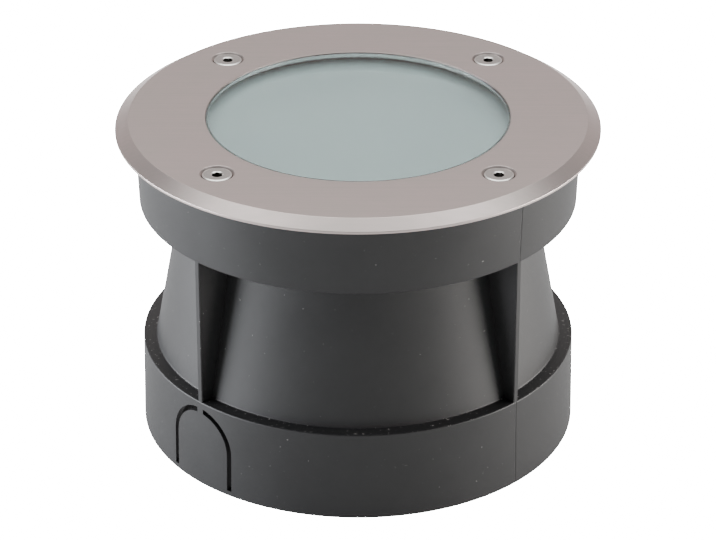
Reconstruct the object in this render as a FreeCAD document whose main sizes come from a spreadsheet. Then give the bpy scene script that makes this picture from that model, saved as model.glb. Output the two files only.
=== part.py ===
import FreeCAD, Part
import math
import os

import Sketcher

# In ground well light: a moulded mounting sleeve that is dug in, a cast luminaire that drops into it,
# and a cover of steel ring, stepped glass, gasket and four socket screws.
# The origin is the centre of the sleeve's foot on the ground, +Z is up, and -Y is the front.

# Driving sizes in millimetres. Radii grow outwards from the glass, heights grow upwards from the foot.
DRIVING_SIZES = {
    # Cover
    "opening_radius": 62.8,
    "glass_cover": 7.2,
    "glass_step_gap": 0.3,
    "glass_edge_height": 6.5,
    "glass_recess": 0.3,
    "glass_bevel": 1.0,
    "gasket_wall": 2.5,
    "gasket_top": 1.5,
    "gasket_base": 2.0,
    "gasket_lip": 4.5,
    "ring_thickness": 4.4,
    "ring_edge_height": 1.0,
    "ring_bevel_width": 5.5,
    "ring_overhang": 8.0,
    "bore_edge_break": 0.4,
    # Cover screws
    "screw_count": 4,
    "screw_setback": 5.8,
    "screw_radius": 3.0,
    "screw_head_radius": 6.1,
    "screw_head_sink": 0.25,
    "screw_length": 19.0,
    "screw_ring_clearance": 0.3,
    "countersink_rim": 0.5,
    "socket_width": 4.0,
    "socket_depth": 2.6,
    "thread_clearance": 0.08,
    # Mounting sleeve
    "sleeve_wall": 2.8,
    "skirt_height": 38.7,
    "skirt_spread": 0.8,
    "ledge_width": 5.7,
    "cone_height": 64.2,
    "cone_flare": 12.0,
    "shoulder_width": 17.5,
    "collar_height": 30.5,
    "collar_spread": 1.0,
    "edge_break": 0.5,
    "rib_thickness": 2.4,
    "rib_setback": 0.1,
    "arch_radius": 15.8,
    "arch_slot": 2.2,
    "arch_bridge": 3.3,
    "arch_foot": 2.9,
    "arch_ceiling_gap": 0.1,
    # Luminaire housing
    "rim_land": 8.6,
    "rim_plate": 4.1,
    "rim_gap": 0.3,
    "recess_clearance": 0.5,
    "recess_wall": 3.0,
    "housing_wall": 2.8,
    "housing_spread": 0.4,
    "collar_clearance": 0.8,
    "seat_plate": 3.5,
    "cup_wall": 3.0,
    "cup_spread": 1.0,
    "floor_thickness": 4.0,
    "chamber_depth": 25.1,
    "gear_bay_height": 28.0,
    "fin_count": 16,
    "fin_clearance": 1.2,
    "fin_depth": 8.0,
    "fin_thickness": 2.5,
    "fin_foot_gap": 4.0,
    "screw_boss_wall": 2.0,
    "screw_boss_floor": 2.5,
    "screw_tip_gap": 2.0,
    # Light source
    "carrier_thickness": 3.0,
    "carrier_clearance": 0.5,
    "carrier_screw_count": 3,
    "carrier_boss_radius": 5.5,
    "carrier_boss_inset": 5.0,
    "carrier_screw_radius": 2.0,
    "carrier_screw_length": 12.0,
    "pan_head_radius": 3.5,
    "pan_head_height": 2.4,
    "board_margin": 9.0,
    "board_thickness": 1.6,
    "board_screw_inset": 8.0,
    "board_screw_count": 3,
    "board_screw_length": 4.0,
    "small_screw_radius": 1.5,
    "small_head_radius": 2.8,
    "small_head_height": 2.0,
    "small_screw_clearance": 0.2,
    "chip_size": 3.0,
    "chip_height": 0.7,
    "inner_chip_circle": 14.0,
    "inner_chip_count": 8,
    "outer_chip_circle": 28.0,
    "outer_chip_count": 16,
    "reflector_wall": 1.2,
    "reflector_foot_margin": 1.5,
    "reflector_flange_gap": 0.6,
    # Gear bay
    "driver_length": 74.0,
    "driver_width": 32.0,
    "driver_height": 20.0,
    "driver_round": 2.0,
    "driver_setback": 18.0,
    "driver_ear_reach": 8.0,
    "driver_ear_width": 12.0,
    "driver_ear_height": 2.5,
    "gear_screw_depth": 3.0,
    "terminal_pitch": 11.0,
    "terminal_pole_count": 3,
    "terminal_depth": 16.0,
    "terminal_height": 15.0,
    "terminal_offset": 6.0,
    "terminal_setback": 14.0,
    "terminal_base_height": 4.0,
    "terminal_well_radius": 2.6,
    "terminal_well_depth": 6.0,
    "wire_radius": 1.1,
    "wire_height": 8.0,
    "earth_wall_gap": 15.5,
    "earth_boss_radius": 4.5,
    "earth_boss_height": 6.0,
    "earth_screw_length": 7.0,
    "lug_thickness": 1.0,
    "lug_radius": 4.0,
    "lug_neck": 7.0,
    "lug_barrel_radius": 1.9,
    "lug_barrel_length": 5.0,
    "led_wire_radius": 0.8,
    "led_wire_spacing": 2.4,
    "led_wire_inset": 7.4,
    "led_wire_bend": 3.4,
    "led_wire_rise": 2.0,
    "led_wire_hole_radius": 3.0,
    # Cable gland
    "gland_offset": 12.0,
    "gland_wall_gap": 17.5,
    "gland_width": 20.0,
    "gland_flange": 5.0,
    "gland_thread_radius": 8.0,
    "gland_thread_length": 8.0,
    "gland_bore_radius": 5.5,
    "gland_fit": 0.08,
    "gland_washer_height": 1.5,
    "gland_washer_radius": 10.5,
    "lock_nut_width": 22.0,
    "lock_nut_height": 5.0,
    "gland_thread_spare": 1.0,
    "gland_nut_hex": 8.5,
    "gland_nut_dome": 6.5,
    "gland_nut_mouth": 4.9,
    "gland_nut_lid": 2.0,
    "gland_nut_top_gap": 0.5,
    "cable_radius": 4.0,
    "cable_clearance": 0.25,
    "seal_fit": 0.1,
    "seal_length": 12.0,
}

CENTRE_AXIS = "V_Axis"
HORIZONTAL_AXIS, VERTICAL_AXIS = -1, -2
SKETCH_ORIGIN = (-1, 1)
START_POINT, END_POINT, CENTRE_POINT = range(1, 4)
FULL_TURN_ANGLE = 360.0
SCREW_ANGLE = 45.0
BOSS_ANGLE = 90.0
LED_WIRE_ANGLE = 42.0
UP = FreeCAD.Vector(0, 0, 1)

doc = FreeCAD.newDocument("well_light")
sheet = doc.addObject("Spreadsheet::Sheet", "sizes")
for row, (alias, number) in enumerate(DRIVING_SIZES.items(), start=1):
    sheet.set(f"A{row}", alias)
    sheet.set(f"B{row}", str(number))
    sheet.setAlias(f"B{row}", alias)
doc.recompute()


class Size:
    """A length in millimetres together with the sheet formula that drives it."""

    def __init__(self, value, formula):
        self.value = value
        self.formula = formula

    def __add__(self, other):
        other = as_size(other)
        return Size(self.value + other.value, f"({self.formula} + {other.formula})")

    def __sub__(self, other):
        other = as_size(other)
        return Size(self.value - other.value, f"({self.formula} - {other.formula})")

    def __mul__(self, factor):
        return Size(self.value * factor, f"({self.formula} * {factor:.9f})")

    def __truediv__(self, divisor):
        return Size(self.value / divisor, f"({self.formula} / {divisor:.9f})")

    def __neg__(self):
        return Size(-self.value, f"(-1 * {self.formula})")


def as_size(number):
    """A plain number as a Size."""
    if isinstance(number, Size):
        return number
    return Size(float(number), f"{float(number):.9f}")


def cell(name):
    """A driving size, read from the sheet."""
    return Size(float(sheet.get(name)), f"sizes.{name}")


ZERO = as_size(0)
PAIR = as_size(2)

# ---- Radii, from the glass outwards ----------------------------------------------------------------
opening_radius = cell("opening_radius")
glass_radius = opening_radius + cell("glass_cover")
glass_step_radius = opening_radius - cell("glass_step_gap")
gasket_radius = glass_radius + cell("gasket_wall")
gasket_inner_radius = glass_radius - cell("gasket_lip")
recess_radius = gasket_radius + cell("recess_clearance")
recess_wall_radius = recess_radius + cell("recess_wall")
screw_circle = recess_radius + cell("screw_setback")
housing_radius = screw_circle + cell("rim_land")
collar_foot_inner = housing_radius + cell("collar_clearance")
collar_foot_radius = collar_foot_inner + cell("sleeve_wall")
collar_rim_radius = collar_foot_radius + cell("collar_spread")
ring_radius = collar_rim_radius + cell("ring_overhang")
cone_top_radius = collar_foot_radius - cell("shoulder_width")
cone_foot_radius = cone_top_radius + cell("cone_flare")
skirt_top_radius = cone_foot_radius + cell("ledge_width")
skirt_foot_radius = skirt_top_radius + cell("skirt_spread")
shoulder_bore = cone_top_radius - cell("sleeve_wall")
fin_tip_radius = shoulder_bore - cell("fin_clearance")
cup_radius = fin_tip_radius - cell("fin_depth")
cup_foot_radius = cup_radius - cell("cup_spread")
cup_bore = cup_radius - cell("cup_wall")
cup_foot_bore = cup_foot_radius - cell("cup_wall")
carrier_radius = cup_foot_bore - cell("carrier_clearance")
carrier_boss_circle = cup_foot_bore - cell("carrier_boss_inset")
board_radius = carrier_radius - cell("board_margin")
board_screw_circle = board_radius - cell("board_screw_inset")
led_wire_circle = board_radius - cell("led_wire_inset")

# ---- Heights, from the ground upwards --------------------------------------------------------------
ledge_height = cell("skirt_height")
collar_foot_height = ledge_height + cell("cone_height")
shoulder_height = collar_foot_height + cell("sleeve_wall")
collar_rim_height = collar_foot_height + cell("collar_height")
ring_underside = collar_rim_height + cell("rim_gap")
ring_top = ring_underside + cell("ring_thickness")
gasket_height = cell("gasket_base") + cell("glass_edge_height") + cell("gasket_top")
seat_height = ring_underside - gasket_height
seat_underside = seat_height - cell("seat_plate")
carrier_height = seat_height - cell("chamber_depth")
board_height = carrier_height + cell("carrier_thickness")
board_top = board_height + cell("board_thickness")
floor_height = carrier_height - cell("gear_bay_height")
housing_foot = floor_height - cell("floor_thickness")

# ---- Places in the gear bay ------------------------------------------------------------------------
gland_place = (-cell("gland_offset"), cell("gland_wall_gap") - cup_foot_bore)
terminal_place = (cell("terminal_offset"), -cell("terminal_setback"))
driver_place = (ZERO, cell("driver_setback"))
earth_place = (cell("terminal_offset") + cell("terminal_pitch"), cell("earth_wall_gap") - cup_foot_bore)
driver_screw_reach = (cell("driver_length") + cell("driver_ear_reach")) / 2
terminal_screw_reach = cell("terminal_pitch") / 2
lug_height = floor_height + cell("earth_boss_height")
wire_line = floor_height + cell("wire_height")


# ---- Sketch and feature helpers --------------------------------------------------------------------
def origin_feature(body, role):
    """One of the body's own origin planes or axes."""
    return next(item for item in body.Origin.OriginFeatures if item.Role == role)


def new_body(label):
    """An empty body whose label is the name of the sub-part."""
    body = doc.addObject("PartDesign::Body", label)
    body.Label = label
    return body


def place(body, across=ZERO, along=ZERO, height=ZERO, turn=0.0):
    """Moves a body to its place, turned about the vertical by an angle in degrees."""
    base = FreeCAD.Vector(across.value, along.value, height.value)
    body.Placement = FreeCAD.Placement(base, FreeCAD.Rotation(UP, turn))
    for axis, size in (("x", across), ("y", along), ("z", height)):
        if size is not ZERO:
            body.setExpression(f".Placement.Base.{axis}", size.formula)


def new_sketch(body, name, role="XY_Plane", lift=ZERO):
    """A sketch on one of the body's origin planes, lifted along the plane's normal."""
    sketch = body.newObject("Sketcher::SketchObject", name)
    sketch.AttachmentSupport = [(origin_feature(body, role), "")]
    sketch.MapMode = "FlatFace"
    sketch.AttachmentOffset = FreeCAD.Placement(FreeCAD.Vector(0, 0, lift.value), FreeCAD.Rotation())
    if lift is not ZERO:
        sketch.setExpression(".AttachmentOffset.Base.z", lift.formula)
    return sketch


def constrain(sketch, constraint, size=None):
    """Adds a constraint and, where a size is given, ties its value to that size."""
    index = sketch.addConstraint(constraint)
    if size is not None:
        name = f"size_{index}"
        sketch.renameConstraint(index, name)
        sketch.setExpression(f"Constraints.{name}", size.formula)


def pin_across(sketch, geometry, point, across):
    """Ties a point's sideways distance from the sketch's origin."""
    if abs(across.value) < 1e-9:
        constrain(sketch, Sketcher.Constraint("PointOnObject", geometry, point, VERTICAL_AXIS))
    else:
        link = Sketcher.Constraint("DistanceX", *SKETCH_ORIGIN, geometry, point, across.value)
        constrain(sketch, link, across)


def pin_up(sketch, geometry, point, up):
    """Ties a point's upward distance from the sketch's origin."""
    if abs(up.value) < 1e-9:
        constrain(sketch, Sketcher.Constraint("PointOnObject", geometry, point, HORIZONTAL_AXIS))
    else:
        link = Sketcher.Constraint("DistanceY", *SKETCH_ORIGIN, geometry, point, up.value)
        constrain(sketch, link, up)


def draw_outline(sketch, corners):
    """A closed outline of straight edges through corners given as (across, up) sizes."""
    vectors = [FreeCAD.Vector(across.value, up.value, 0) for across, up in corners]
    first = sketch.GeometryCount
    for start, end in zip(vectors, vectors[1:] + vectors[:1]):
        sketch.addGeometry(Part.LineSegment(start, end), False)
    for offset, (across, up) in enumerate(corners):
        this_edge = first + offset
        next_edge = first + (offset + 1) % len(corners)
        constrain(sketch, Sketcher.Constraint("Coincident", this_edge, END_POINT, next_edge, START_POINT))
        pin_across(sketch, this_edge, START_POINT, across)
        pin_up(sketch, this_edge, START_POINT, up)


def draw_circle(sketch, across, up, radius):
    """A circle whose centre and radius are tied to sizes."""
    centre = FreeCAD.Vector(across.value, up.value, 0)
    index = sketch.addGeometry(Part.Circle(centre, UP, radius.value), False)
    pin_across(sketch, index, CENTRE_POINT, across)
    pin_up(sketch, index, CENTRE_POINT, up)
    constrain(sketch, Sketcher.Constraint("Radius", index, radius.value), radius)


def box_corners(left, right, half_depth):
    """Corners of a rectangle from left to right, with the sketch's first axis through its middle."""
    return [(left, -half_depth), (right, -half_depth), (right, half_depth), (left, half_depth)]


def rectangle(width, depth):
    """Corners of a rectangle about the sketch's origin."""
    half_width = width / 2
    half_depth = depth / 2
    return box_corners(-half_width, half_width, half_depth)


def hexagon(width, across=ZERO):
    """Corners of a hexagon, measured across its flats, about a point on the sketch's first axis."""
    corner_radius = width / (2 * math.cos(math.radians(30)))
    turns = [math.radians(60 * step) for step in range(6)]
    return [(across + corner_radius * math.cos(turn), corner_radius * math.sin(turn)) for turn in turns]


def revolve(body, name, corners, turning_line=None):
    """A solid of revolution about the body's Z axis, or about a line parallel to it."""
    sketch = new_sketch(body, name + "_profile", "XZ_Plane")
    draw_outline(sketch, corners)
    axis = CENTRE_AXIS
    if turning_line is not None:
        start = FreeCAD.Vector(turning_line.value, corners[0][1].value, 0)
        end = FreeCAD.Vector(turning_line.value, corners[-1][1].value, 0)
        line = sketch.addGeometry(Part.LineSegment(start, end), True)
        pin_across(sketch, line, START_POINT, turning_line)
        pin_up(sketch, line, START_POINT, corners[0][1])
        pin_across(sketch, line, END_POINT, turning_line)
        pin_up(sketch, line, END_POINT, corners[-1][1])
        axis = "Axis0"
    feature = body.newObject("PartDesign::Revolution", name)
    feature.Profile = sketch
    feature.ReferenceAxis = (sketch, [axis])
    feature.Angle = FULL_TURN_ANGLE
    return feature


def pad(body, name, sketch, length, both_sides=False):
    """A pad of a sketch along its normal, or to both sides of it."""
    feature = body.newObject("PartDesign::Pad", name)
    feature.Profile = sketch
    feature.Length = length.value
    feature.setExpression("Length", length.formula)
    if both_sides:
        feature.SideType = "Symmetric"
    return feature


def pocket(body, name, sketch, depth):
    """A pocket that goes down from its sketch."""
    feature = body.newObject("PartDesign::Pocket", name)
    feature.Profile = sketch
    feature.Length = depth.value
    feature.setExpression("Length", depth.formula)
    return feature


def polar(body, name, feature, count):
    """Repeats a feature evenly about the body's Z axis."""
    pattern = body.newObject("PartDesign::PolarPattern", name)
    pattern.Originals = [feature]
    pattern.Axis = (origin_feature(body, "Z_Axis"), [""])
    pattern.Angle = FULL_TURN_ANGLE
    pattern.Occurrences = round(count.value)
    pattern.setExpression("Occurrences", count.formula)
    body.Tip = pattern
    return pattern


def drill(body, name, top, depth, places, radius):
    """Round holes of one radius, sunk from a height to a depth at several places."""
    sketch = new_sketch(body, name + "_circles", lift=top)
    for across, along in places:
        draw_circle(sketch, across, along, radius)
    return pocket(body, name, sketch, depth)


def boss(body, name, foot, height, places, radius):
    """Round bosses that stand on a height at several places."""
    sketch = new_sketch(body, name + "_circles", lift=foot)
    for across, along in places:
        draw_circle(sketch, across, along, radius)
    return pad(body, name, sketch, height)


def on_circle(radius, angle):
    """A place at a radius and an angle in degrees from +X."""
    turn = math.radians(angle)
    return (radius * math.cos(turn), radius * math.sin(turn))


# ---- Mounting sleeve -------------------------------------------------------------------------------
def make_mounting_sleeve():
    """One moulding: collar with an inner shoulder, flaring cone, four webs and a skirt with a knock-out.

    The webs stand on the body's own X and Y axes, and the body is turned to bring them to the screws.
    """
    body = new_body("mounting_sleeve")
    wall = cell("sleeve_wall")
    bevel = cell("edge_break")
    collar_rim_inner = collar_rim_radius - wall
    skirt_foot_inner = skirt_foot_radius - wall
    skirt_top_inner = skirt_top_radius - wall
    cone_foot_inner = cone_foot_radius - wall
    ceiling = ledge_height - wall
    revolve(body, "shell", [
        (collar_rim_radius - bevel, collar_rim_height),
        (collar_rim_inner, collar_rim_height),
        (collar_foot_inner, shoulder_height),
        (shoulder_bore, shoulder_height),
        (shoulder_bore, collar_foot_height),
        (cone_foot_inner, ceiling),
        (skirt_top_inner, ceiling),
        (skirt_foot_inner, ZERO),
        (skirt_foot_radius - bevel, ZERO),
        (skirt_foot_radius, bevel),
        (skirt_top_radius, ledge_height - bevel),
        (skirt_top_radius - bevel, ledge_height),
        (cone_foot_radius, ledge_height),
        (cone_top_radius, collar_foot_height),
        (collar_foot_radius - bevel, collar_foot_height),
        (collar_foot_radius, collar_foot_height + bevel),
        (collar_rim_radius, collar_rim_height - bevel),
    ])
    bite = wall / 2
    setback = cell("rib_setback")
    web_sketch = new_sketch(body, "web_profile", "XZ_Plane")
    draw_outline(web_sketch, [
        (cone_foot_radius - bite, ledge_height - bite),
        (skirt_top_radius - setback, ledge_height - bite),
        (skirt_top_radius - setback, ledge_height),
        (collar_foot_radius - setback, collar_foot_height),
        (collar_foot_radius - setback, collar_foot_height + bite),
        (cone_top_radius - bite, collar_foot_height + bite),
        (cone_top_radius - bite, collar_foot_height),
    ])
    web = pad(body, "web", web_sketch, cell("rib_thickness"), both_sides=True)
    polar(body, "webs", web, cell("screw_count"))
    cut_knock_out(body)
    place(body, turn=-SCREW_ANGLE)
    return body


def cut_knock_out(body):
    """Cuts the arch that frees the cable tab: half a slot to the left, and its mirror image.

    Each half is a leg and a quarter ring, held off the other by the bridge at the crown.
    """
    outer = cell("arch_radius") + cell("arch_slot") / 2
    inner = cell("arch_radius") - cell("arch_slot") / 2
    half_bridge = cell("arch_bridge") / 2
    foot = cell("arch_foot")
    crown = ledge_height - cell("sleeve_wall") - cell("arch_ceiling_gap")
    spring = crown - outer
    sketch = new_sketch(body, "arch_outline", "XZ_Plane", lift=skirt_foot_radius)
    arcs = []
    for radius in (outer, inner):
        rise = math.sqrt(radius.value ** 2 - half_bridge.value ** 2)
        crown_angle = math.atan2(rise, -half_bridge.value)
        circle = Part.Circle(FreeCAD.Vector(0, spring.value, 0), UP, radius.value)
        arc = sketch.addGeometry(Part.ArcOfCircle(circle, crown_angle, math.pi), False)
        pin_across(sketch, arc, CENTRE_POINT, ZERO)
        pin_up(sketch, arc, CENTRE_POINT, spring)
        constrain(sketch, Sketcher.Constraint("Radius", arc, radius.value), radius)
        pin_across(sketch, arc, START_POINT, -half_bridge)
        pin_up(sketch, arc, END_POINT, spring)
        top = FreeCAD.Vector(-radius.value, spring.value, 0)
        leg = sketch.addGeometry(Part.LineSegment(top, FreeCAD.Vector(-radius.value, foot.value, 0)), False)
        constrain(sketch, Sketcher.Constraint("Coincident", leg, START_POINT, arc, END_POINT))
        pin_across(sketch, leg, END_POINT, -radius)
        pin_up(sketch, leg, END_POINT, foot)
        arcs.append((arc, leg))
    for arc_end, leg_end in ((0, START_POINT), (1, END_POINT)):
        outer_piece, inner_piece = arcs[0][arc_end], arcs[1][arc_end]
        cap_start = sketch.getPoint(outer_piece, leg_end)
        cap_end = sketch.getPoint(inner_piece, leg_end)
        cap = sketch.addGeometry(Part.LineSegment(cap_start, cap_end), False)
        constrain(sketch, Sketcher.Constraint("Coincident", cap, START_POINT, outer_piece, leg_end))
        constrain(sketch, Sketcher.Constraint("Coincident", cap, END_POINT, inner_piece, leg_end))
    half_slot = pocket(body, "half_arch", sketch, cell("arch_radius"))
    mirror = body.newObject("PartDesign::Mirrored", "arch")
    mirror.Originals = [half_slot]
    mirror.MirrorPlane = (origin_feature(body, "YZ_Plane"), [""])
    body.Tip = mirror


# ---- Luminaire housing -----------------------------------------------------------------------------
def make_housing():
    """Cast cup with cooling fins, a glass seat, and a wide rim that drops to the sleeve's shoulder."""
    body = new_body("housing")
    wall = cell("housing_wall")
    draft = cell("housing_spread")
    bevel = cell("edge_break")
    pocket_roof = ring_underside - cell("rim_plate")
    revolve(body, "casting", [
        (ZERO, housing_foot),
        (cup_foot_radius - bevel, housing_foot),
        (cup_foot_radius, housing_foot + bevel),
        (cup_radius, seat_underside),
        (recess_wall_radius, seat_underside),
        (recess_wall_radius, pocket_roof),
        (housing_radius - wall, pocket_roof),
        (housing_radius - wall + draft, shoulder_height),
        (housing_radius, shoulder_height),
        (housing_radius, ring_underside - bevel),
        (housing_radius - bevel, ring_underside),
        (recess_radius, ring_underside),
        (recess_radius, seat_height),
        (cup_bore, seat_height),
        (cup_foot_bore, floor_height),
        (ZERO, floor_height),
    ])
    add_cooling_fins(body)
    add_cover_screw_bosses(body, pocket_roof)
    add_carrier_bosses(body)
    add_floor_fixings(body)
    return body


def add_cooling_fins(body):
    """Radial fins between the cup and the sleeve's bore, joined to the underside of the glass seat."""
    root = cup_foot_radius - cell("cup_wall") / 2
    foot = housing_foot + cell("fin_foot_gap")
    sketch = new_sketch(body, "fin_profile", "XZ_Plane")
    draw_outline(sketch, [
        (root, foot),
        (cup_radius, foot),
        (fin_tip_radius, foot + cell("fin_depth")),
        (fin_tip_radius, seat_underside + cell("seat_plate") / 2),
        (root, seat_underside + cell("seat_plate") / 2),
    ])
    fin = pad(body, "fin", sketch, cell("fin_thickness"), both_sides=True)
    polar(body, "fins", fin, cell("fin_count"))


def add_cover_screw_bosses(body, pocket_roof):
    """Bosses under the rim, with blind holes for the cover screws."""
    corner = on_circle(screw_circle, SCREW_ANGLE)
    hole_radius = cell("screw_radius") + cell("thread_clearance")
    screw_tip = ring_top - cell("screw_head_sink") - cell("screw_length")
    hole_bottom = screw_tip - cell("screw_tip_gap")
    boss_foot = hole_bottom - cell("screw_boss_floor")
    boss_top = pocket_roof + cell("rim_plate") / 2
    boss_radius = hole_radius + cell("screw_boss_wall")
    first_boss = boss(body, "screw_boss", boss_foot, boss_top - boss_foot, [corner], boss_radius)
    polar(body, "screw_bosses", first_boss, cell("screw_count"))
    hole_depth = ring_underside - hole_bottom
    first_hole = drill(body, "screw_hole", ring_underside, hole_depth, [corner], hole_radius)
    polar(body, "screw_holes", first_hole, cell("screw_count"))


def add_carrier_bosses(body):
    """Bosses inside the cup that carry the light source's plate."""
    back = on_circle(carrier_boss_circle, BOSS_ANGLE)
    foot = housing_foot + cell("floor_thickness") / 2
    hole_radius = cell("carrier_screw_radius") + cell("thread_clearance")
    first_boss = boss(body, "carrier_boss", foot, carrier_height - foot, [back], cell("carrier_boss_radius"))
    polar(body, "carrier_bosses", first_boss, cell("carrier_screw_count"))
    hole_depth = cell("carrier_screw_length")
    first_hole = drill(body, "carrier_hole", carrier_height, hole_depth, [back], hole_radius)
    polar(body, "carrier_holes", first_hole, cell("carrier_screw_count"))


def add_floor_fixings(body):
    """The earth boss, the gland's hole and the blind holes for the gear's screws."""
    boss_foot = housing_foot + cell("floor_thickness") / 2
    boss(body, "earth_boss", boss_foot, lug_height - boss_foot, [earth_place], cell("earth_boss_radius"))
    earth_hole_radius = cell("carrier_screw_radius") + cell("thread_clearance")
    drill(body, "earth_hole", lug_height, cell("earth_screw_length"), [earth_place], earth_hole_radius)
    gland_hole_radius = cell("gland_thread_radius") + cell("gland_fit")
    drill(body, "gland_hole", floor_height, cell("floor_thickness"), [gland_place], gland_hole_radius)
    driver_across, driver_along = driver_place
    terminal_across, terminal_along = terminal_place
    gear_places = [
        (driver_across - driver_screw_reach, driver_along),
        (driver_across + driver_screw_reach, driver_along),
        (terminal_across - terminal_screw_reach, terminal_along),
        (terminal_across + terminal_screw_reach, terminal_along),
    ]
    gear_hole_radius = cell("small_screw_radius") + cell("thread_clearance")
    drill(body, "gear_holes", floor_height, cell("gear_screw_depth"), gear_places, gear_hole_radius)


# ---- Light source ----------------------------------------------------------------------------------
def make_led_carrier():
    """Aluminium plate that carries the board and spreads its heat into the bosses."""
    body = new_body("led_carrier")
    thickness = cell("carrier_thickness")
    boss(body, "plate", ZERO, thickness, [(ZERO, ZERO)], carrier_radius)
    clear_radius = cell("carrier_screw_radius") + cell("small_screw_clearance")
    back = on_circle(carrier_boss_circle, BOSS_ANGLE)
    first_hole = drill(body, "fixing_hole", thickness, thickness, [back], clear_radius)
    polar(body, "fixing_holes", first_hole, cell("carrier_screw_count"))
    thread_radius = cell("small_screw_radius") + cell("thread_clearance")
    board_back = on_circle(board_screw_circle, BOSS_ANGLE)
    board_hole = drill(body, "board_hole", thickness, thickness, [board_back], thread_radius)
    polar(body, "board_holes", board_hole, cell("board_screw_count"))
    drill(body, "wire_hole", thickness, thickness, [led_wire_place()], cell("led_wire_hole_radius"))
    place(body, height=carrier_height)
    return body


def led_wire_place():
    """Where the light source's leads come up through the carrier and the board."""
    return on_circle(led_wire_circle, LED_WIRE_ANGLE)


def make_led_board():
    """Round circuit board on the carrier."""
    body = new_body("led_board")
    thickness = cell("board_thickness")
    boss(body, "board", ZERO, thickness, [(ZERO, ZERO)], board_radius)
    clear_radius = cell("small_screw_radius") + cell("small_screw_clearance")
    back = on_circle(board_screw_circle, BOSS_ANGLE)
    board_hole = drill(body, "board_hole", thickness, thickness, [back], clear_radius)
    polar(body, "board_holes", board_hole, cell("board_screw_count"))
    drill(body, "wire_hole", thickness, thickness, [led_wire_place()], cell("led_wire_hole_radius"))
    place(body, height=board_height)
    return body


def make_led_chips():
    """Two rings of square light emitting chips on the board."""
    body = new_body("led_chips")
    half = cell("chip_size") / 2
    for ring in ("inner", "outer"):
        circle = cell(f"{ring}_chip_circle")
        sketch = new_sketch(body, f"{ring}_chip_outline")
        draw_outline(sketch, box_corners(circle - half, circle + half, half))
        chip = pad(body, f"{ring}_chip", sketch, cell("chip_height"))
        polar(body, f"{ring}_chips", chip, cell(f"{ring}_chip_count"))
    place(body, height=board_top)
    return body


def make_reflector():
    """Thin flaring reflector from the board up to a flange on the glass seat."""
    body = new_body("reflector")
    wall = cell("reflector_wall")
    foot_radius = board_radius - cell("reflector_foot_margin")
    throat_radius = cup_bore - wall
    flange_radius = gasket_inner_radius - cell("reflector_flange_gap")
    rise = seat_height - board_top
    revolve(body, "shell", [
        (foot_radius - wall, ZERO),
        (foot_radius, ZERO),
        (throat_radius, rise),
        (flange_radius, rise),
        (flange_radius, rise + wall),
        (throat_radius - wall, rise + wall),
    ])
    place(body, height=board_top)
    return body


# ---- Screws ----------------------------------------------------------------------------------------
def make_screws(label, circle, count, shank_radius, length, head_radius, head_height):
    """A set of slotted pan head screws on a circle. The body's origin is at the heads' underside."""
    body = new_body(label)
    screw = revolve(body, "screw", [
        (circle, -length),
        (circle + shank_radius, -length),
        (circle + shank_radius, ZERO),
        (circle + head_radius, ZERO),
        (circle + head_radius, head_height / 2),
        (circle + head_radius / 2, head_height),
        (circle, head_height),
    ], turning_line=circle)
    polar(body, "screws", screw, count)
    slot_sketch = new_sketch(body, "slot_outline", lift=head_height)
    slot_half = shank_radius / 4
    draw_outline(slot_sketch, box_corners(circle - head_radius, circle + head_radius, slot_half))
    slot = pocket(body, "slot", slot_sketch, head_height / 2)
    polar(body, "slots", slot, count)
    return body


def make_carrier_screws():
    """Screws that hold the carrier to its bosses."""
    body = make_screws(
        "carrier_screws", carrier_boss_circle, cell("carrier_screw_count"), cell("carrier_screw_radius"),
        cell("carrier_screw_length"), cell("pan_head_radius"), cell("pan_head_height"))
    place(body, height=board_height, turn=BOSS_ANGLE)
    return body


def make_board_screws():
    """Screws that hold the board to the carrier."""
    body = make_screws(
        "board_screws", board_screw_circle, cell("board_screw_count"), cell("small_screw_radius"),
        cell("board_screw_length"), cell("small_head_radius"), cell("small_head_height"))
    place(body, height=board_top, turn=BOSS_ANGLE)
    return body


def make_gear_screws(label, reach, spot, seat):
    """A pair of screws through a piece of gear into the housing's floor."""
    body = make_screws(
        label, reach, PAIR, cell("small_screw_radius"), cell("gear_screw_depth") + seat,
        cell("small_head_radius"), cell("small_head_height"))
    across, along = spot
    place(body, across, along, floor_height + seat)
    return body


def make_driver_screws():
    """Screws through the driver's ears."""
    return make_gear_screws("driver_screws", driver_screw_reach, driver_place, cell("driver_ear_height"))


def make_terminal_screws():
    """Screws between the terminal block's poles."""
    seat = cell("terminal_base_height")
    return make_gear_screws("terminal_screws", terminal_screw_reach, terminal_place, seat)


# ---- Gear bay --------------------------------------------------------------------------------------
def make_led_driver():
    """Potted driver with rounded corners and a fixing ear at each end."""
    body = new_body("led_driver")
    ear_height = cell("driver_ear_height")
    case_sketch = new_sketch(body, "case_outline")
    draw_outline(case_sketch, rectangle(cell("driver_length"), cell("driver_width")))
    case = pad(body, "case", case_sketch, cell("driver_height"))
    doc.recompute()
    edges = [
        f"Edge{number}"
        for number, edge in enumerate(case.Shape.Edges, start=1)
        if abs(edge.Vertexes[0].Z - edge.Vertexes[1].Z) > 1 or edge.Vertexes[0].Z > 1
    ]
    round_off = body.newObject("PartDesign::Fillet", "case_rounds")
    round_off.Base = (case, edges)
    round_off.setExpression("Radius", cell("driver_round").formula)
    ears_length = cell("driver_length") + cell("driver_ear_reach") * 2
    ear_sketch = new_sketch(body, "ear_outline")
    draw_outline(ear_sketch, rectangle(ears_length, cell("driver_ear_width")))
    pad(body, "ears", ear_sketch, ear_height)
    hole_radius = cell("small_screw_radius") + cell("small_screw_clearance")
    reach = driver_screw_reach
    drill(body, "ear_holes", ear_height, ear_height, [(-reach, ZERO), (reach, ZERO)], hole_radius)
    across, along = driver_place
    place(body, across, along, floor_height)
    return body


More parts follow.
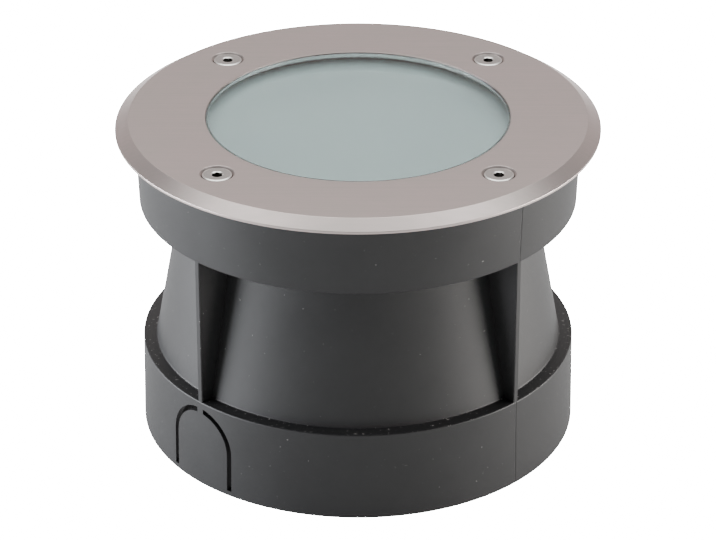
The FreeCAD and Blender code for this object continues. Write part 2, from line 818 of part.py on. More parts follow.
def make_terminal_block():
    """Screw terminal block: a stepped strip with a wire mouth and a screw well at each pole."""
    body = new_body("terminal_block")
    pitch = cell("terminal_pitch")
    count = round(cell("terminal_pole_count").value)
    length = pitch * count
    depth = cell("terminal_depth")
    base_height = cell("terminal_base_height")
    base_sketch = new_sketch(body, "base_outline")
    draw_outline(base_sketch, rectangle(length, depth))
    pad(body, "base", base_sketch, base_height)
    tower_sketch = new_sketch(body, "tower_outline", lift=base_height)
    tower_half = (pitch - cell("small_head_radius") * 2) / 2 - cell("small_screw_clearance")
    half_depth = depth / 2
    pole_places = [pitch * (number - (count - 1) / 2) for number in range(count)]
    for across in pole_places:
        draw_outline(tower_sketch, box_corners(across - tower_half, across + tower_half, half_depth))
    pad(body, "towers", tower_sketch, cell("terminal_height") - base_height)
    well_radius = cell("terminal_well_radius") / 2
    drill(body, "screw_wells", cell("terminal_height"), cell("terminal_well_depth"),
          [(across, ZERO) for across in pole_places], well_radius)
    hole_radius = cell("small_screw_radius") + cell("small_screw_clearance")
    reach = terminal_screw_reach
    drill(body, "fixing_holes", base_height, base_height, [(-reach, ZERO), (reach, ZERO)], hole_radius)
    across, along = terminal_place
    place(body, across, along, floor_height)
    return body


def make_straight_wires(label, start, places, length):
    """Insulated wires that run along +Y from a start, at several places across."""
    body = new_body(label)
    sketch = new_sketch(body, "wire_ends", "XZ_Plane")
    for across in places:
        draw_circle(sketch, across, ZERO, cell("wire_radius"))
    wires = pad(body, "wires", sketch, length)
    wires.Reversed = True
    place(body, along=start, height=wire_line)
    return body


def make_mains_leads():
    """Leads from the terminal block's back to the driver's front, one at each live pole."""
    start = cell("terminal_depth") / 2 - cell("terminal_setback")
    end = cell("driver_setback") - cell("driver_width") / 2
    pitch = cell("terminal_pitch")
    offset = cell("terminal_offset")
    return make_straight_wires("mains_leads", start, [offset - pitch, offset], end - start)


def make_earth_lead():
    """Lead from the earth lug to the terminal block's front."""
    start = earth_place[1] + cell("lug_neck") + cell("lug_barrel_length")
    end = -(cell("terminal_setback") + cell("terminal_depth") / 2)
    return make_straight_wires("earth_lead", start, [earth_place[0]], end - start)


def make_earth_lug():
    """Ring terminal under the earth screw: an eye, a neck and a barrel that takes the earth lead."""
    body = new_body("earth_lug")
    thickness = cell("lug_thickness")
    neck_half = cell("lug_barrel_radius")
    boss(body, "eye", ZERO, thickness, [(ZERO, ZERO)], cell("lug_radius"))
    neck_sketch = new_sketch(body, "neck_outline")
    draw_outline(neck_sketch, [
        (-neck_half, ZERO),
        (neck_half, ZERO),
        (neck_half, cell("lug_neck")),
        (-neck_half, cell("lug_neck")),
    ])
    pad(body, "neck", neck_sketch, thickness)
    drill(body, "eye_hole", thickness, thickness, [(ZERO, ZERO)],
          cell("carrier_screw_radius") + cell("thread_clearance"))
    barrel_sketch = new_sketch(body, "barrel_end", "XZ_Plane", lift=-cell("lug_neck"))
    draw_circle(barrel_sketch, ZERO, wire_line - lug_height, neck_half)
    barrel = pad(body, "barrel", barrel_sketch, cell("lug_barrel_length"))
    barrel.Reversed = True
    across, along = earth_place
    place(body, across, along, lug_height)
    return body


def make_earth_screw():
    """Screw that clamps the earth lug to its boss."""
    body = new_body("earth_screw")
    head_height = cell("pan_head_height")
    head_radius = cell("pan_head_radius")
    length = cell("earth_screw_length")
    revolve(body, "screw", [
        (ZERO, -length),
        (cell("carrier_screw_radius"), -length),
        (cell("carrier_screw_radius"), ZERO),
        (head_radius, ZERO),
        (head_radius, head_height / 2),
        (head_radius / 2, head_height),
        (ZERO, head_height),
    ])
    slot_sketch = new_sketch(body, "slot_outline", lift=head_height)
    draw_outline(slot_sketch, rectangle(head_radius * 2, cell("carrier_screw_radius") / 2))
    pocket(body, "slot", slot_sketch, head_height / 2)
    across, along = earth_place
    place(body, across, along, lug_height + cell("lug_thickness"))
    return body


def make_led_leads():
    """Two leads that rise from the driver, pass the board and turn down onto its pads."""
    body = new_body("led_leads")
    bend = cell("led_wire_bend")
    rise = cell("led_wire_rise")
    driver_top = floor_height + cell("driver_height")
    crown = board_top + rise - driver_top
    path = new_sketch(body, "path", "XZ_Plane")
    left = FreeCAD.Vector(-2 * bend.value, crown.value, 0)
    landing = FreeCAD.Vector(left.x, (crown - rise).value, 0)
    top = FreeCAD.Vector(0, crown.value, 0)
    riser = path.addGeometry(Part.LineSegment(FreeCAD.Vector(0, 0, 0), top), False)
    circle = Part.Circle(FreeCAD.Vector(-bend.value, crown.value, 0), UP, bend.value)
    arc = path.addGeometry(Part.ArcOfCircle(circle, 0, math.pi), False)
    drop = path.addGeometry(Part.LineSegment(left, landing), False)
    pin_across(path, riser, START_POINT, ZERO)
    pin_up(path, riser, START_POINT, ZERO)
    pin_across(path, riser, END_POINT, ZERO)
    pin_up(path, riser, END_POINT, crown)
    constrain(path, Sketcher.Constraint("Coincident", riser, END_POINT, arc, START_POINT))
    pin_across(path, arc, CENTRE_POINT, -bend)
    pin_up(path, arc, CENTRE_POINT, crown)
    pin_up(path, arc, END_POINT, crown)
    constrain(path, Sketcher.Constraint("Coincident", arc, END_POINT, drop, START_POINT))
    pin_across(path, drop, END_POINT, -(bend * 2))
    pin_up(path, drop, END_POINT, crown - rise)
    section = new_sketch(body, "wire_section")
    draw_circle(section, ZERO, ZERO, cell("led_wire_radius"))
    wire = body.newObject("PartDesign::AdditivePipe", "lead")
    wire.Profile = section
    wire.Spine = (path, ["Edge1", "Edge2", "Edge3"])
    pair = body.newObject("PartDesign::LinearPattern", "leads")
    pair.Originals = [wire]
    pair.Direction = (origin_feature(body, "Y_Axis"), [""])
    pair.Length = cell("led_wire_spacing").value
    pair.setExpression("Length", cell("led_wire_spacing").formula)
    pair.Occurrences = 2
    body.Tip = pair
    across, along = led_wire_place()
    side, back = on_circle(cell("led_wire_spacing") / 2, LED_WIRE_ANGLE - 90)
    place(body, across + side, along + back, driver_top, turn=LED_WIRE_ANGLE)
    return body


# ---- Cable gland -----------------------------------------------------------------------------------
def make_gland_washer():
    """Sealing washer between the gland's flange and the housing."""
    body = new_body("gland_washer")
    bore = cell("gland_thread_radius") + cell("gland_fit")
    rim = cell("gland_washer_radius")
    height = cell("gland_washer_height")
    revolve(body, "ring", [(bore, ZERO), (rim, ZERO), (rim, height), (bore, height)])
    place(body, *gland_place, housing_foot - height)
    return body


def make_gland_body():
    """Gland body: a hexagon flange between two threaded spigots, with one bore right through."""
    body = new_body("gland_body")
    flange = cell("gland_flange")
    lower = cell("gland_thread_length")
    inside = cell("floor_thickness") + cell("lock_nut_height") + cell("gland_thread_spare")
    upper = cell("gland_washer_height") + inside
    radius = cell("gland_thread_radius")
    boss(body, "threads", ZERO, lower + flange + upper, [(ZERO, ZERO)], radius)
    flange_sketch = new_sketch(body, "flange_outline", lift=lower)
    draw_outline(flange_sketch, hexagon(cell("gland_width")))
    pad(body, "flange", flange_sketch, flange)
    depth = lower + flange + upper
    drill(body, "bore", depth, depth, [(ZERO, ZERO)], cell("gland_bore_radius"))
    place(body, *gland_place, housing_foot - cell("gland_washer_height") - flange - lower)
    return body


def make_gland_lock_nut():
    """Hexagon nut that clamps the gland from inside the housing."""
    body = new_body("gland_lock_nut")
    sketch = new_sketch(body, "nut_outline")
    draw_outline(sketch, hexagon(cell("lock_nut_width")))
    height = cell("lock_nut_height")
    pad(body, "nut", sketch, height)
    drill(body, "bore", height, height, [(ZERO, ZERO)], cell("gland_thread_radius") + cell("gland_fit"))
    place(body, *gland_place, floor_height)
    return body


def make_gland_nut():
    """Cap nut: a hexagon above a rounded dome, with a mouth for the cable."""
    body = new_body("gland_nut")
    dome = cell("gland_nut_dome")
    hex_height = cell("gland_nut_hex")
    flat_radius = cell("gland_width") / 2
    mouth = cell("gland_nut_mouth")
    lid = cell("gland_nut_lid")
    thread = cell("gland_thread_radius") + cell("gland_fit")
    revolve(body, "dome", [
        (mouth, ZERO),
        (flat_radius * 0.62, ZERO),
        (flat_radius * 0.86, dome * 0.35),
        (flat_radius, dome),
        (flat_radius, dome + hex_height),
        (thread, dome + hex_height),
        (thread, dome),
        (cell("gland_bore_radius"), lid),
        (mouth, lid),
    ])
    hex_sketch = new_sketch(body, "hexagon_outline", lift=dome)
    draw_outline(hex_sketch, hexagon(cell("gland_width")))
    draw_circle(hex_sketch, ZERO, ZERO, thread)
    pad(body, "hexagon", hex_sketch, hex_height)
    nut_top = housing_foot - cell("gland_washer_height") - cell("gland_flange") - cell("gland_nut_top_gap")
    place(body, *gland_place, nut_top - hex_height - dome)
    return body


def make_gland_seal():
    """Rubber sleeve that grips the cable inside the gland."""
    body = new_body("gland_seal")
    bore = cell("cable_radius") + cell("cable_clearance")
    rim = cell("gland_bore_radius") - cell("seal_fit")
    length = cell("seal_length")
    revolve(body, "sleeve", [(bore, ZERO), (rim, ZERO), (rim, length), (bore, length)])
    nut_top = housing_foot - cell("gland_washer_height") - cell("gland_flange") - cell("gland_nut_top_gap")
    lid_inside = nut_top - cell("gland_nut_hex") - cell("gland_nut_dome") + cell("gland_nut_lid")
    place(body, *gland_place, lid_inside)
    return body


# ---- Cover -----------------------------------------------------------------------------------------
def make_trim_ring():
    """Bevelled steel ring with countersunk holes. Its body is turned to bring the holes to the webs."""
    body = new_body("trim_ring")
    thickness = cell("ring_thickness")
    break_edge = cell("bore_edge_break")
    revolve(body, "plate", [
        (opening_radius, ZERO),
        (ring_radius, ZERO),
        (ring_radius, cell("ring_edge_height")),
        (ring_radius - cell("ring_bevel_width"), thickness),
        (opening_radius + break_edge, thickness),
        (opening_radius, thickness - break_edge),
    ])
    doc.recompute()
    hole_sketch = new_sketch(body, "screw_circle", lift=thickness)
    clear_radius = cell("screw_radius") + cell("screw_ring_clearance")
    draw_circle(hole_sketch, screw_circle, ZERO, clear_radius)
    doc.recompute()
    hole = body.newObject("PartDesign::Hole", "screw_hole")
    hole.Profile = hole_sketch
    doc.recompute()
    hole.ThreadType = "None"
    hole.DepthType = "ThroughAll"
    hole.DrillPoint = "Flat"
    hole.HoleCutType = "Countersink"
    hole.HoleCutCustomValues = True
    hole.HoleCutCountersinkAngle = 90
    hole.setExpression("Diameter", (clear_radius * 2).formula)
    countersink = cell("screw_head_radius") + cell("countersink_rim") + cell("screw_head_sink")
    hole.setExpression("HoleCutDiameter", (countersink * 2).formula)
    polar(body, "screw_holes", hole, cell("screw_count"))
    place(body, height=ring_underside, turn=SCREW_ANGLE)
    return body


def make_glass_lens():
    """Stepped glass: a thick disc that fills the ring's opening on a wider edge under the ring."""
    body = new_body("glass_lens")
    edge = cell("glass_edge_height")
    bevel = cell("glass_bevel")
    top = edge + cell("gasket_top") + cell("ring_thickness") - cell("glass_recess")
    revolve(body, "disc", [
        (ZERO, ZERO),
        (glass_radius, ZERO),
        (glass_radius, edge),
        (glass_step_radius, edge),
        (glass_step_radius, top - bevel),
        (glass_step_radius - bevel, top),
        (ZERO, top),
    ])
    place(body, height=seat_height + cell("gasket_base"))
    return body


def make_glass_gasket():
    """Channel gasket that wraps the edge of the glass."""
    body = new_body("glass_gasket")
    base = cell("gasket_base")
    groove_top = base + cell("glass_edge_height")
    revolve(body, "channel", [
        (gasket_inner_radius, ZERO),
        (gasket_radius, ZERO),
        (gasket_radius, gasket_height),
        (gasket_inner_radius, gasket_height),
        (gasket_inner_radius, groove_top),
        (glass_radius, groove_top),
        (glass_radius, base),
        (gasket_inner_radius, base),
    ])
    place(body, height=seat_height)
    return body


def make_cover_screws():
    """Countersunk socket screws. The body's origin is at the level of the heads' tops."""
    body = new_body("cover_screws")
    shank = cell("screw_radius")
    head = cell("screw_head_radius")
    circle = screw_circle
    land = cell("screw_head_sink")
    screw = revolve(body, "screw", [
        (circle, -cell("screw_length")),
        (circle + shank, -cell("screw_length")),
        (circle + shank, shank - head - land),
        (circle + head, -land),
        (circle + head, ZERO),
        (circle, ZERO),
    ], turning_line=circle)
    polar(body, "screws", screw, cell("screw_count"))
    socket_sketch = new_sketch(body, "socket_outline")
    draw_outline(socket_sketch, hexagon(cell("socket_width"), circle))
    socket = pocket(body, "socket", socket_sketch, cell("socket_depth"))
    polar(body, "sockets", socket, cell("screw_count"))
    place(body, height=ring_top - cell("screw_head_sink"), turn=SCREW_ANGLE)
    return body


def main():
    """Builds every sub-part, checks the document and writes one file for each sub-part."""
    sub_parts = [
        make_mounting_sleeve(),
        make_housing(),
        make_led_carrier(),
        make_carrier_screws(),
        make_led_board(),
        make_board_screws(),
        make_led_chips(),
        make_reflector(),
        make_led_driver(),
        make_driver_screws(),
        make_terminal_block(),
        make_terminal_screws(),
        make_mains_leads(),
        make_earth_lug(),
        make_earth_screw(),
        make_earth_lead(),
        make_led_leads(),
        make_gland_washer(),
        make_gland_body(),
        make_gland_lock_nut(),
        make_gland_nut(),
        make_gland_seal(),
        make_trim_ring(),
        make_glass_lens(),
        make_glass_gasket(),
        make_cover_screws(),
    ]
    doc.recompute()
    for item in doc.Objects:
        if "Invalid" in item.State or "Error" in item.State:
            raise RuntimeError(f"{item.Label} did not build: {item.State}")
    os.makedirs("parts", exist_ok=True)
    for body in sub_parts:
        shape = body.Shape
        if shape.isNull() or not shape.isValid():
            raise RuntimeError(f"{body.Label} has no valid solid")
        shape.exportStep(f"parts/{body.Label}.step")
        print(f"{body.Label}: {len(shape.Solids)} solid(s), {shape.Volume / 1000:.2f} cm3")


main()
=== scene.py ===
"""In ground well light: every surface of the light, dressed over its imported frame.

The frame gives the bodies, the joints and the plain solids in metres, with the sleeve's foot on the
ground, +Z up and the front towards -Y. The steel ring, the glass, the four screws and the moulded sleeve
are worked out again here as fine surfaces, and every other solid keeps its mesh and gets a finish.
"""

import logging
import math
from dataclasses import dataclass
from enum import Enum

import bmesh
import bpy
import numpy as np
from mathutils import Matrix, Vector


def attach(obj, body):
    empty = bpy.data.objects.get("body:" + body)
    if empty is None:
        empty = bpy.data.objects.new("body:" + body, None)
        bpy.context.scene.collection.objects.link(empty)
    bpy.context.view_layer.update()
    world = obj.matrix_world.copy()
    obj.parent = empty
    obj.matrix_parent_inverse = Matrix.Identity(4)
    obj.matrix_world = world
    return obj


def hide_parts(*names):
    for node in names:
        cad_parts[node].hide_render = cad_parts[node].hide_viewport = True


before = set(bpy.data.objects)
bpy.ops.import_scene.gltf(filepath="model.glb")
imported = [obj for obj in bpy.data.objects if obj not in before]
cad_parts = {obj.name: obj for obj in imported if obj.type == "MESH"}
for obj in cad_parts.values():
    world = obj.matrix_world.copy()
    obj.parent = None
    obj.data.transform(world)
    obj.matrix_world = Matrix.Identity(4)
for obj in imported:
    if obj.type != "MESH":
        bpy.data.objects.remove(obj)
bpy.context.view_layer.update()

log = logging.getLogger("well_light")

MM = 0.001

# Azimuths in degrees, and the radius in millimetres of the circle that the screws are on.
QUARTERS = 4
QUARTER_TURN = 90.0
SCREW_TURN = 45.0
KNOCK_OUT_TURN = -135.0
SCREW_CIRCLE = 78.8

# A mesh: from which angle an edge is sharp, and the distances in metres that are closed up.
SHARP_ANGLE = math.radians(32)
MERGE_DISTANCE = 2e-7
SHORTEST_EDGE = 1e-8

# A profile's arcs: their facets, the most of a straight that one takes, and where its spare points go.
ARC_STEPS = 4
ARC_SHARE = 0.42
SPARE_OF_ARC = 0.35
SPARE_OF_STRAIGHT = 0.05

# Patterns: their roughness, the part of the patches that the colour drifts over, and how marks run along X.
NOISE_ROUGHNESS = 0.6
DRIFT_SPAN = (0.3, 0.7)
MARKS_STRETCH = (0.02, 1.0, 1.0)
BANDS_SHARE = 0.12

Colour = tuple[float, float, float]
Point = tuple[float, float, float]
Corner = tuple[float, float, float]
Pair = tuple[float, float]
Socket = bpy.types.NodeSocket
Value = Socket | float | tuple[float, ...]


class Body(Enum):
    """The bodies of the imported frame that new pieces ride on."""

    SLEEVE = "sleeve"
    COVER = "cover"


class Change(Enum):
    """What a solid does to a piece that it meets."""

    JOIN = "UNION"
    CUT = "DIFFERENCE"


# ---- Surfaces worked out as arrays ------------------------------------------------------------------
@dataclass
class Surface:
    """A mesh as plain arrays.

    Attributes:
        points: One row of x, y and z in metres for each vertex.
        faces: One row of four vertex numbers for each face.
    """

    points: np.ndarray
    faces: np.ndarray

    def moved(self, across: float, along: float) -> "Surface":
        """The same surface shifted level, by distances in metres."""
        return Surface(self.points + np.array((across, along, 0.0)), self.faces)

    def turned(self, degrees: float) -> "Surface":
        """Turns the surface about the vertical through the origin.

        Args:
            degrees: The angle, counter-clockwise from above.

        Returns:
            The turned surface.
        """
        turn = math.radians(degrees)
        matrix = np.array((
            (math.cos(turn), -math.sin(turn), 0.0),
            (math.sin(turn), math.cos(turn), 0.0),
            (0.0, 0.0, 1.0),
        ))
        return Surface(self.points @ matrix.T, self.faces)


def joined(surfaces: list[Surface]) -> Surface:
    """Several surfaces as one, with the vertex numbers of each moved past those before it.

    Args:
        surfaces: The surfaces, whose touching borders share their points.

    Returns:
        One surface that holds all the points and faces.
    """
    starts = np.cumsum([0] + [len(surface.points) for surface in surfaces[:-1]])
    points = np.concatenate([surface.points for surface in surfaces])
    faces = np.concatenate([surface.faces + start for surface, start in zip(surfaces, starts)])
    return Surface(points, faces)


def grid(points: np.ndarray, wrap_rows: bool = False, wrap_columns: bool = False) -> Surface:
    """A surface over two parameters: cell (u, v) joins the points u, u+1 and v, v+1.

    Args:
        points: Array of rows by columns by 3, in metres.
        wrap_rows: Joins the last row to the first.
        wrap_columns: Joins the last column to the first.

    Returns:
        The grid as quads.
    """
    rows, columns = points.shape[:2]
    numbers = np.arange(rows * columns).reshape(rows, columns)
    if wrap_rows:
        numbers = np.vstack([numbers, numbers[:1]])
    if wrap_columns:
        numbers = np.hstack([numbers, numbers[:, :1]])
    faces = np.stack([numbers[:-1, :-1], numbers[1:, :-1], numbers[1:, 1:], numbers[:-1, 1:]], axis=-1)
    return Surface(points.reshape(-1, 3), faces.reshape(-1, 4))


def polar_points(radii: np.ndarray, heights: np.ndarray, turns: np.ndarray) -> np.ndarray:
    """Points at radius r, height z and azimuth a in radians: x = r cos a, y = r sin a, on a new last axis."""
    return np.stack([radii * np.cos(turns), radii * np.sin(turns), heights], axis=-1)


def lathe(profile: np.ndarray, turns: np.ndarray, closed: bool = True) -> Surface:
    """Turns a profile about the vertical: P(u, v) = (r_v cos a_u, r_v sin a_u, z_v).

    Args:
        profile: Rows of radius and height in metres.
        turns: The azimuths in radians, once round.
        closed: Joins the profile's last point to its first.

    Returns:
        The turned surface, shut all the way round.
    """
    shape = (len(turns), len(profile))
    radii = np.broadcast_to(profile[:, 0], shape)
    heights = np.broadcast_to(profile[:, 1], shape)
    azimuths = np.broadcast_to(turns[:, None], shape)
    return grid(polar_points(radii, heights, azimuths), wrap_rows=True, wrap_columns=closed)


def even_turns(count: int) -> np.ndarray:
    """Azimuths in radians, evenly spaced once round."""
    return np.linspace(0.0, 2.0 * math.pi, count, endpoint=False)


def quarter_azimuth(quarter: int) -> float:
    """The azimuth in degrees of one screw, and of the web under it."""
    return SCREW_TURN + QUARTER_TURN * quarter


def screw_place(quarter: int) -> np.ndarray:
    """The middle of one screw and its hole, as x and y in metres."""
    turn = math.radians(quarter_azimuth(quarter))
    return np.array((math.cos(turn), math.sin(turn))) * SCREW_CIRCLE * MM


def rounded(corners: list[Corner], closed: bool = True) -> np.ndarray:
    """A profile whose corners are arcs, with a point on each straight just before and after its arc.

    The arc of radius r touches both straights at r tan(turn / 2) from the corner, and its points are
    swung evenly about its centre. The extra points keep the shading of the flats flat.

    Args:
        corners: Rows of across, up and arc radius, all in millimetres.
        closed: Whether the last corner is joined to the first; else the two ends stay sharp.

    Returns:
        Rows of across and up in metres.
    """
    places = np.array([corner[:2] for corner in corners])
    parts = []
    for number, (across, up, radius) in enumerate(corners):
        here = np.array((across, up))
        at_end = not closed and number in (0, len(corners) - 1)
        if radius <= 0 or at_end:
            parts.append(here[None])
            continue
        back = places[number - 1] - here
        ahead = places[(number + 1) % len(corners)] - here
        back_length, ahead_length = np.linalg.norm(back), np.linalg.norm(ahead)
        back, ahead = back / back_length, ahead / ahead_length
        half = math.acos(float(np.clip(back @ ahead, -1.0, 1.0))) / 2
        reach = min(radius / math.tan(half), ARC_SHARE * back_length, ARC_SHARE * ahead_length)
        radius = reach * math.tan(half)
        middle = here + (back + ahead) / np.linalg.norm(back + ahead) * radius / math.sin(half)
        start, end = here + back * reach, here + ahead * reach
        first = math.atan2(*(start - middle)[::-1])
        sweep = (math.atan2(*(end - middle)[::-1]) - first + math.pi) % (2 * math.pi) - math.pi
        swing = first + sweep * np.linspace(0.0, 1.0, ARC_STEPS + 1)
        arc = middle + radius * np.stack([np.cos(swing), np.sin(swing)], axis=-1)
        spare = min(SPARE_OF_ARC * radius, SPARE_OF_STRAIGHT * min(back_length, ahead_length))
        parts += [(start + back * spare)[None], arc, (end + ahead * spare)[None]]
    return np.concatenate(parts) * MM


def build(name: str, surface: Surface, material: bpy.types.Material) -> bpy.types.Object:
    """Puts a surface into a mesh, merges its seams, turns its faces outwards and shades it smooth.

    Args:
        name: The piece's name.
        surface: The surface in metres, in the frame's own place.
        material: The finish.

    Returns:
        The new object, at the origin.
    """
    mesh = bpy.data.meshes.new(name)
    mesh.from_pydata(surface.points.tolist(), [], surface.faces.tolist())
    shape = bmesh.new()
    shape.from_mesh(mesh)
    bmesh.ops.remove_doubles(shape, verts=shape.verts, dist=MERGE_DISTANCE)
    bmesh.ops.dissolve_degenerate(shape, dist=SHORTEST_EDGE, edges=shape.edges)
    bmesh.ops.recalc_face_normals(shape, faces=shape.faces)
    shape.to_mesh(mesh)
    shape.free()
    mesh.shade_smooth()
    mesh.set_sharp_from_angle(angle=SHARP_ANGLE)
    mesh.materials.append(material)
    piece = bpy.data.objects.new(name, mesh)
    bpy.context.scene.collection.objects.link(piece)
    return piece


def settle(piece: bpy.types.Object, body: Body, stands_for: str) -> None:
    """Lets a new piece ride on its body in place of a solid of the frame.

    Args:
        piece: The new piece.
        body: The body that it rides on.
        stands_for: The solid that it replaces.
    """
    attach(piece, body.value)
    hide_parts(stands_for)
    log.info("%s: %d vertices, in place of %s", piece.name, len(piece.data.vertices), stands_for)


# ---- Shader nodes and the effects that several finishes share ---------------------------------------
class Graph:
    """A shader node tree, with short ways to add its nodes and to feed them.

    Attributes:
        tree: The node tree.
    """

    def __init__(self, tree: bpy.types.NodeTree) -> None:
        """Takes hold of a node tree."""
        self.tree = tree

    def feed(self, node: bpy.types.Node, inputs: dict[str | int, Value]) -> None:
        """Feeds a node's inputs.

        Args:
            node: The node.
            inputs: By name or place, the socket that feeds each, or its number, vector or colour.
        """
        for key, value in inputs.items():
            if isinstance(value, Socket):
                self.tree.links.new(value, node.inputs[key])
            else:
                node.inputs[key].default_value = value

    def add(self, kind: str, inputs: dict[str | int, Value] | None = None,
            **settings: object) -> bpy.types.Node:
        """Adds a node.

        Args:
            kind: The node's type.
            inputs: What feeds each of its inputs.
            settings: The node's own settings, made before it is fed.

        Returns:
            The new node.
        """
        node = self.tree.nodes.new(kind)
        for name, setting in settings.items():
            setattr(node, name, setting)
        self.feed(node, inputs or {})
        return node

    def place(self) -> Socket:
        """The point's place in the object's own space, in metres."""
        return self.add("ShaderNodeTexCoord").outputs["Object"]

    def axis(self, vector: Socket, name: str) -> Socket:
        """One part of a vector: X, Y or Z."""
        return self.add("ShaderNodeSeparateXYZ", {0: vector}).outputs[name]

    def math(self, operation: str, *values: Value) -> Socket:
        """What a Math node makes of its values."""
        return self.add("ShaderNodeMath", dict(enumerate(values)), operation=operation).outputs[0]

    def noise(self, place: Socket, scale: Value, detail: float) -> Socket:
        """A noise at a place, from 0 to 1, with its scale in each metre."""
        inputs = {"Vector": place, "Scale": scale, "Detail": detail, "Roughness": NOISE_ROUGHNESS}
        return self.add("ShaderNodeTexNoise", inputs).outputs["Fac"]

    def ramp(self, value: Socket, source: Pair, target: Pair = (0.0, 1.0), soft: bool = False) -> Socket:
        """A value carried from one span to another, and held at the ends.

        Args:
            value: The value.
            source: The span that it is in.
            target: The span that it is carried to.
            soft: Whether it starts and ends gently.

        Returns:
            The new value.
        """
        ends = dict(zip(("From Min", "From Max", "To Min", "To Max"), (*source, *target)))
        way = "SMOOTHSTEP" if soft else "LINEAR"
        node = self.add("ShaderNodeMapRange", {"Value": value, **ends}, interpolation_type=way)
        return node.outputs["Result"]

    def mix(self, share: Socket, first: Value, second: Value) -> Socket:
        """Two colours, mixed by the second one's share."""
        node = self.add("ShaderNodeMix", {"Factor": share, "A": first, "B": second}, data_type="RGBA")
        return node.outputs["Result"]

    def dimmed(self, colour: Socket, light: Value) -> Socket:
        """A colour scaled by a share of light."""
        node = self.add("ShaderNodeVectorMath", {0: colour, "Scale": light}, operation="SCALE")
        return node.outputs["Vector"]

    def bump(self, height: Socket, depth: float) -> Socket:
        """The normal of a surface whose height field is that deep, in metres."""
        return self.add("ShaderNodeBump", {"Height": height, "Distance": depth}).outputs["Normal"]


def new_group(name: str, inputs: tuple[str, ...], outputs: tuple[str, ...]) -> Graph:
    """An empty group of shader nodes, whose inputs and outputs are numbers.

    Args:
        name: The group's name.
        inputs: The names of its inputs.
        outputs: The names of its outputs.

    Returns:
        The group's graph.
    """
    tree = bpy.data.node_groups.new(name, "ShaderNodeTree")
    for way, labels in (("INPUT", inputs), ("OUTPUT", outputs)):
        for label in labels:
            tree.interface.new_socket(label, in_out=way, socket_type="NodeSocketFloat")
    return Graph(tree)


def new_material(name: str) -> tuple[bpy.types.Material, Graph, bpy.types.Node]:
    """Makes a material that uses nodes.

    Args:
        name: The material's name.

    Returns:
        The material, its graph and its surface shader.
    """
    material = bpy.data.materials.new(name)
    material.use_nodes = True
    return material, Graph(material.node_tree), material.node_tree.nodes["Principled BSDF"]


@dataclass(frozen=True)
class Dust:
    """Small pale specks: the peaks of a fine noise that stand over a bar.

    Attributes:
        specks: The fine noise's scale in each metre.
        areas: The scale of the areas where dust gathers, in each metre.
        level: The upward part of the normal from which a face counts as level.
        on_level: How much lower the bar is on a level face.
        in_areas: How much lower it is in the areas, at most.
        sharpness: How fast a speck comes up over the bar.
        bar: The bar's height without dust.
        reach: How much lower a full share of dust puts it.
        colour: The specks' colour.
    """

    specks: float = 620.0
    areas: float = 90.0
    level: float = 0.7
    on_level: float = 0.09
    in_areas: float = 0.22
    sharpness: float = 9.0
    bar: float = 0.92
    reach: float = 0.2
    colour: Colour = (0.42, 0.41, 0.39)

    def group(self) -> bpy.types.NodeTree:
        """Builds the group that gives the specks' mask: sharpness times what of the noise is over the bar.

        Returns:
            The group.
        """
        graph = new_group("settled_dust", ("Bar",), ("Mask",))
        given, place = graph.add("NodeGroupInput").outputs["Bar"], graph.place()
        upward = graph.axis(graph.add("ShaderNodeNewGeometry").outputs["Normal"], "Z")
        on_level = graph.math("MULTIPLY", graph.math("GREATER_THAN", upward, self.level), self.on_level)
        in_areas = graph.math("MULTIPLY", graph.noise(place, self.areas, detail=3.0), self.in_areas)
        bar = graph.math("SUBTRACT", given, graph.math("ADD", on_level, in_areas))
        peak = graph.math("SUBTRACT", graph.noise(place, self.specks, detail=3.0), bar)
        mask = graph.add("ShaderNodeClamp", {"Value": graph.math("MULTIPLY", peak, self.sharpness)})
        graph.add("NodeGroupOutput", {"Mask": mask.outputs["Result"]})
        return graph.tree


DUST = Dust()


class SurfaceEffects:
    """The node groups that the finishes share.

    Attributes:
        grain: The fine texture of a moulded, cast or polished face.
        marks: The fine parallel marks of a belt.
        dust: The mask of settled dust.
    """

    def __init__(self) -> None:
        """Builds each group once."""
        self.grain = self.make_grain()
        self.marks = self.make_marks()
        self.dust = DUST.group()

    @staticmethod
    def make_grain() -> bpy.types.NodeTree:
        """Builds two noises: a fine one for the height, and a slow one for patches.

        Returns:
            The group.
        """
        graph = new_group("fine_grain", ("Grains per metre", "Patches per metre"), ("Height", "Patches"))
        given, place = graph.add("NodeGroupInput").outputs, graph.place()
        graph.add("NodeGroupOutput", {
            "Height": graph.noise(place, given["Grains per metre"], detail=3.0),
            "Patches": graph.noise(place, given["Patches per metre"], detail=4.0),
        })
        return graph.tree

    @staticmethod
    def make_marks() -> bpy.types.NodeTree:
        """Builds two noises stretched along X: a fine one for the height, and a broader one for bands.

        Returns:
            The group.
        """
        graph = new_group("tool_marks_along_x", ("Marks per metre",), ("Height", "Bands"))
        marks = graph.add("NodeGroupInput").outputs["Marks per metre"]
        stretched = graph.add("ShaderNodeMapping", {"Vector": graph.place(), "Scale": MARKS_STRETCH})
        along = stretched.outputs["Vector"]
        graph.add("NodeGroupOutput", {
            "Height": graph.noise(along, marks, detail=5.0),
            "Bands": graph.noise(along, graph.math("MULTIPLY", marks, BANDS_SHARE), detail=4.0),
        })
        return graph.tree

    def grained(self, graph: Graph, grain: float, patches: float) -> bpy.types.NodeOutputs:
        """The outputs Height and Patches of a grain, added to a graph by its grains and patches per metre."""
        inputs = {"Grains per metre": grain, "Patches per metre": patches}
        return graph.add("ShaderNodeGroup", inputs, node_tree=self.grain).outputs


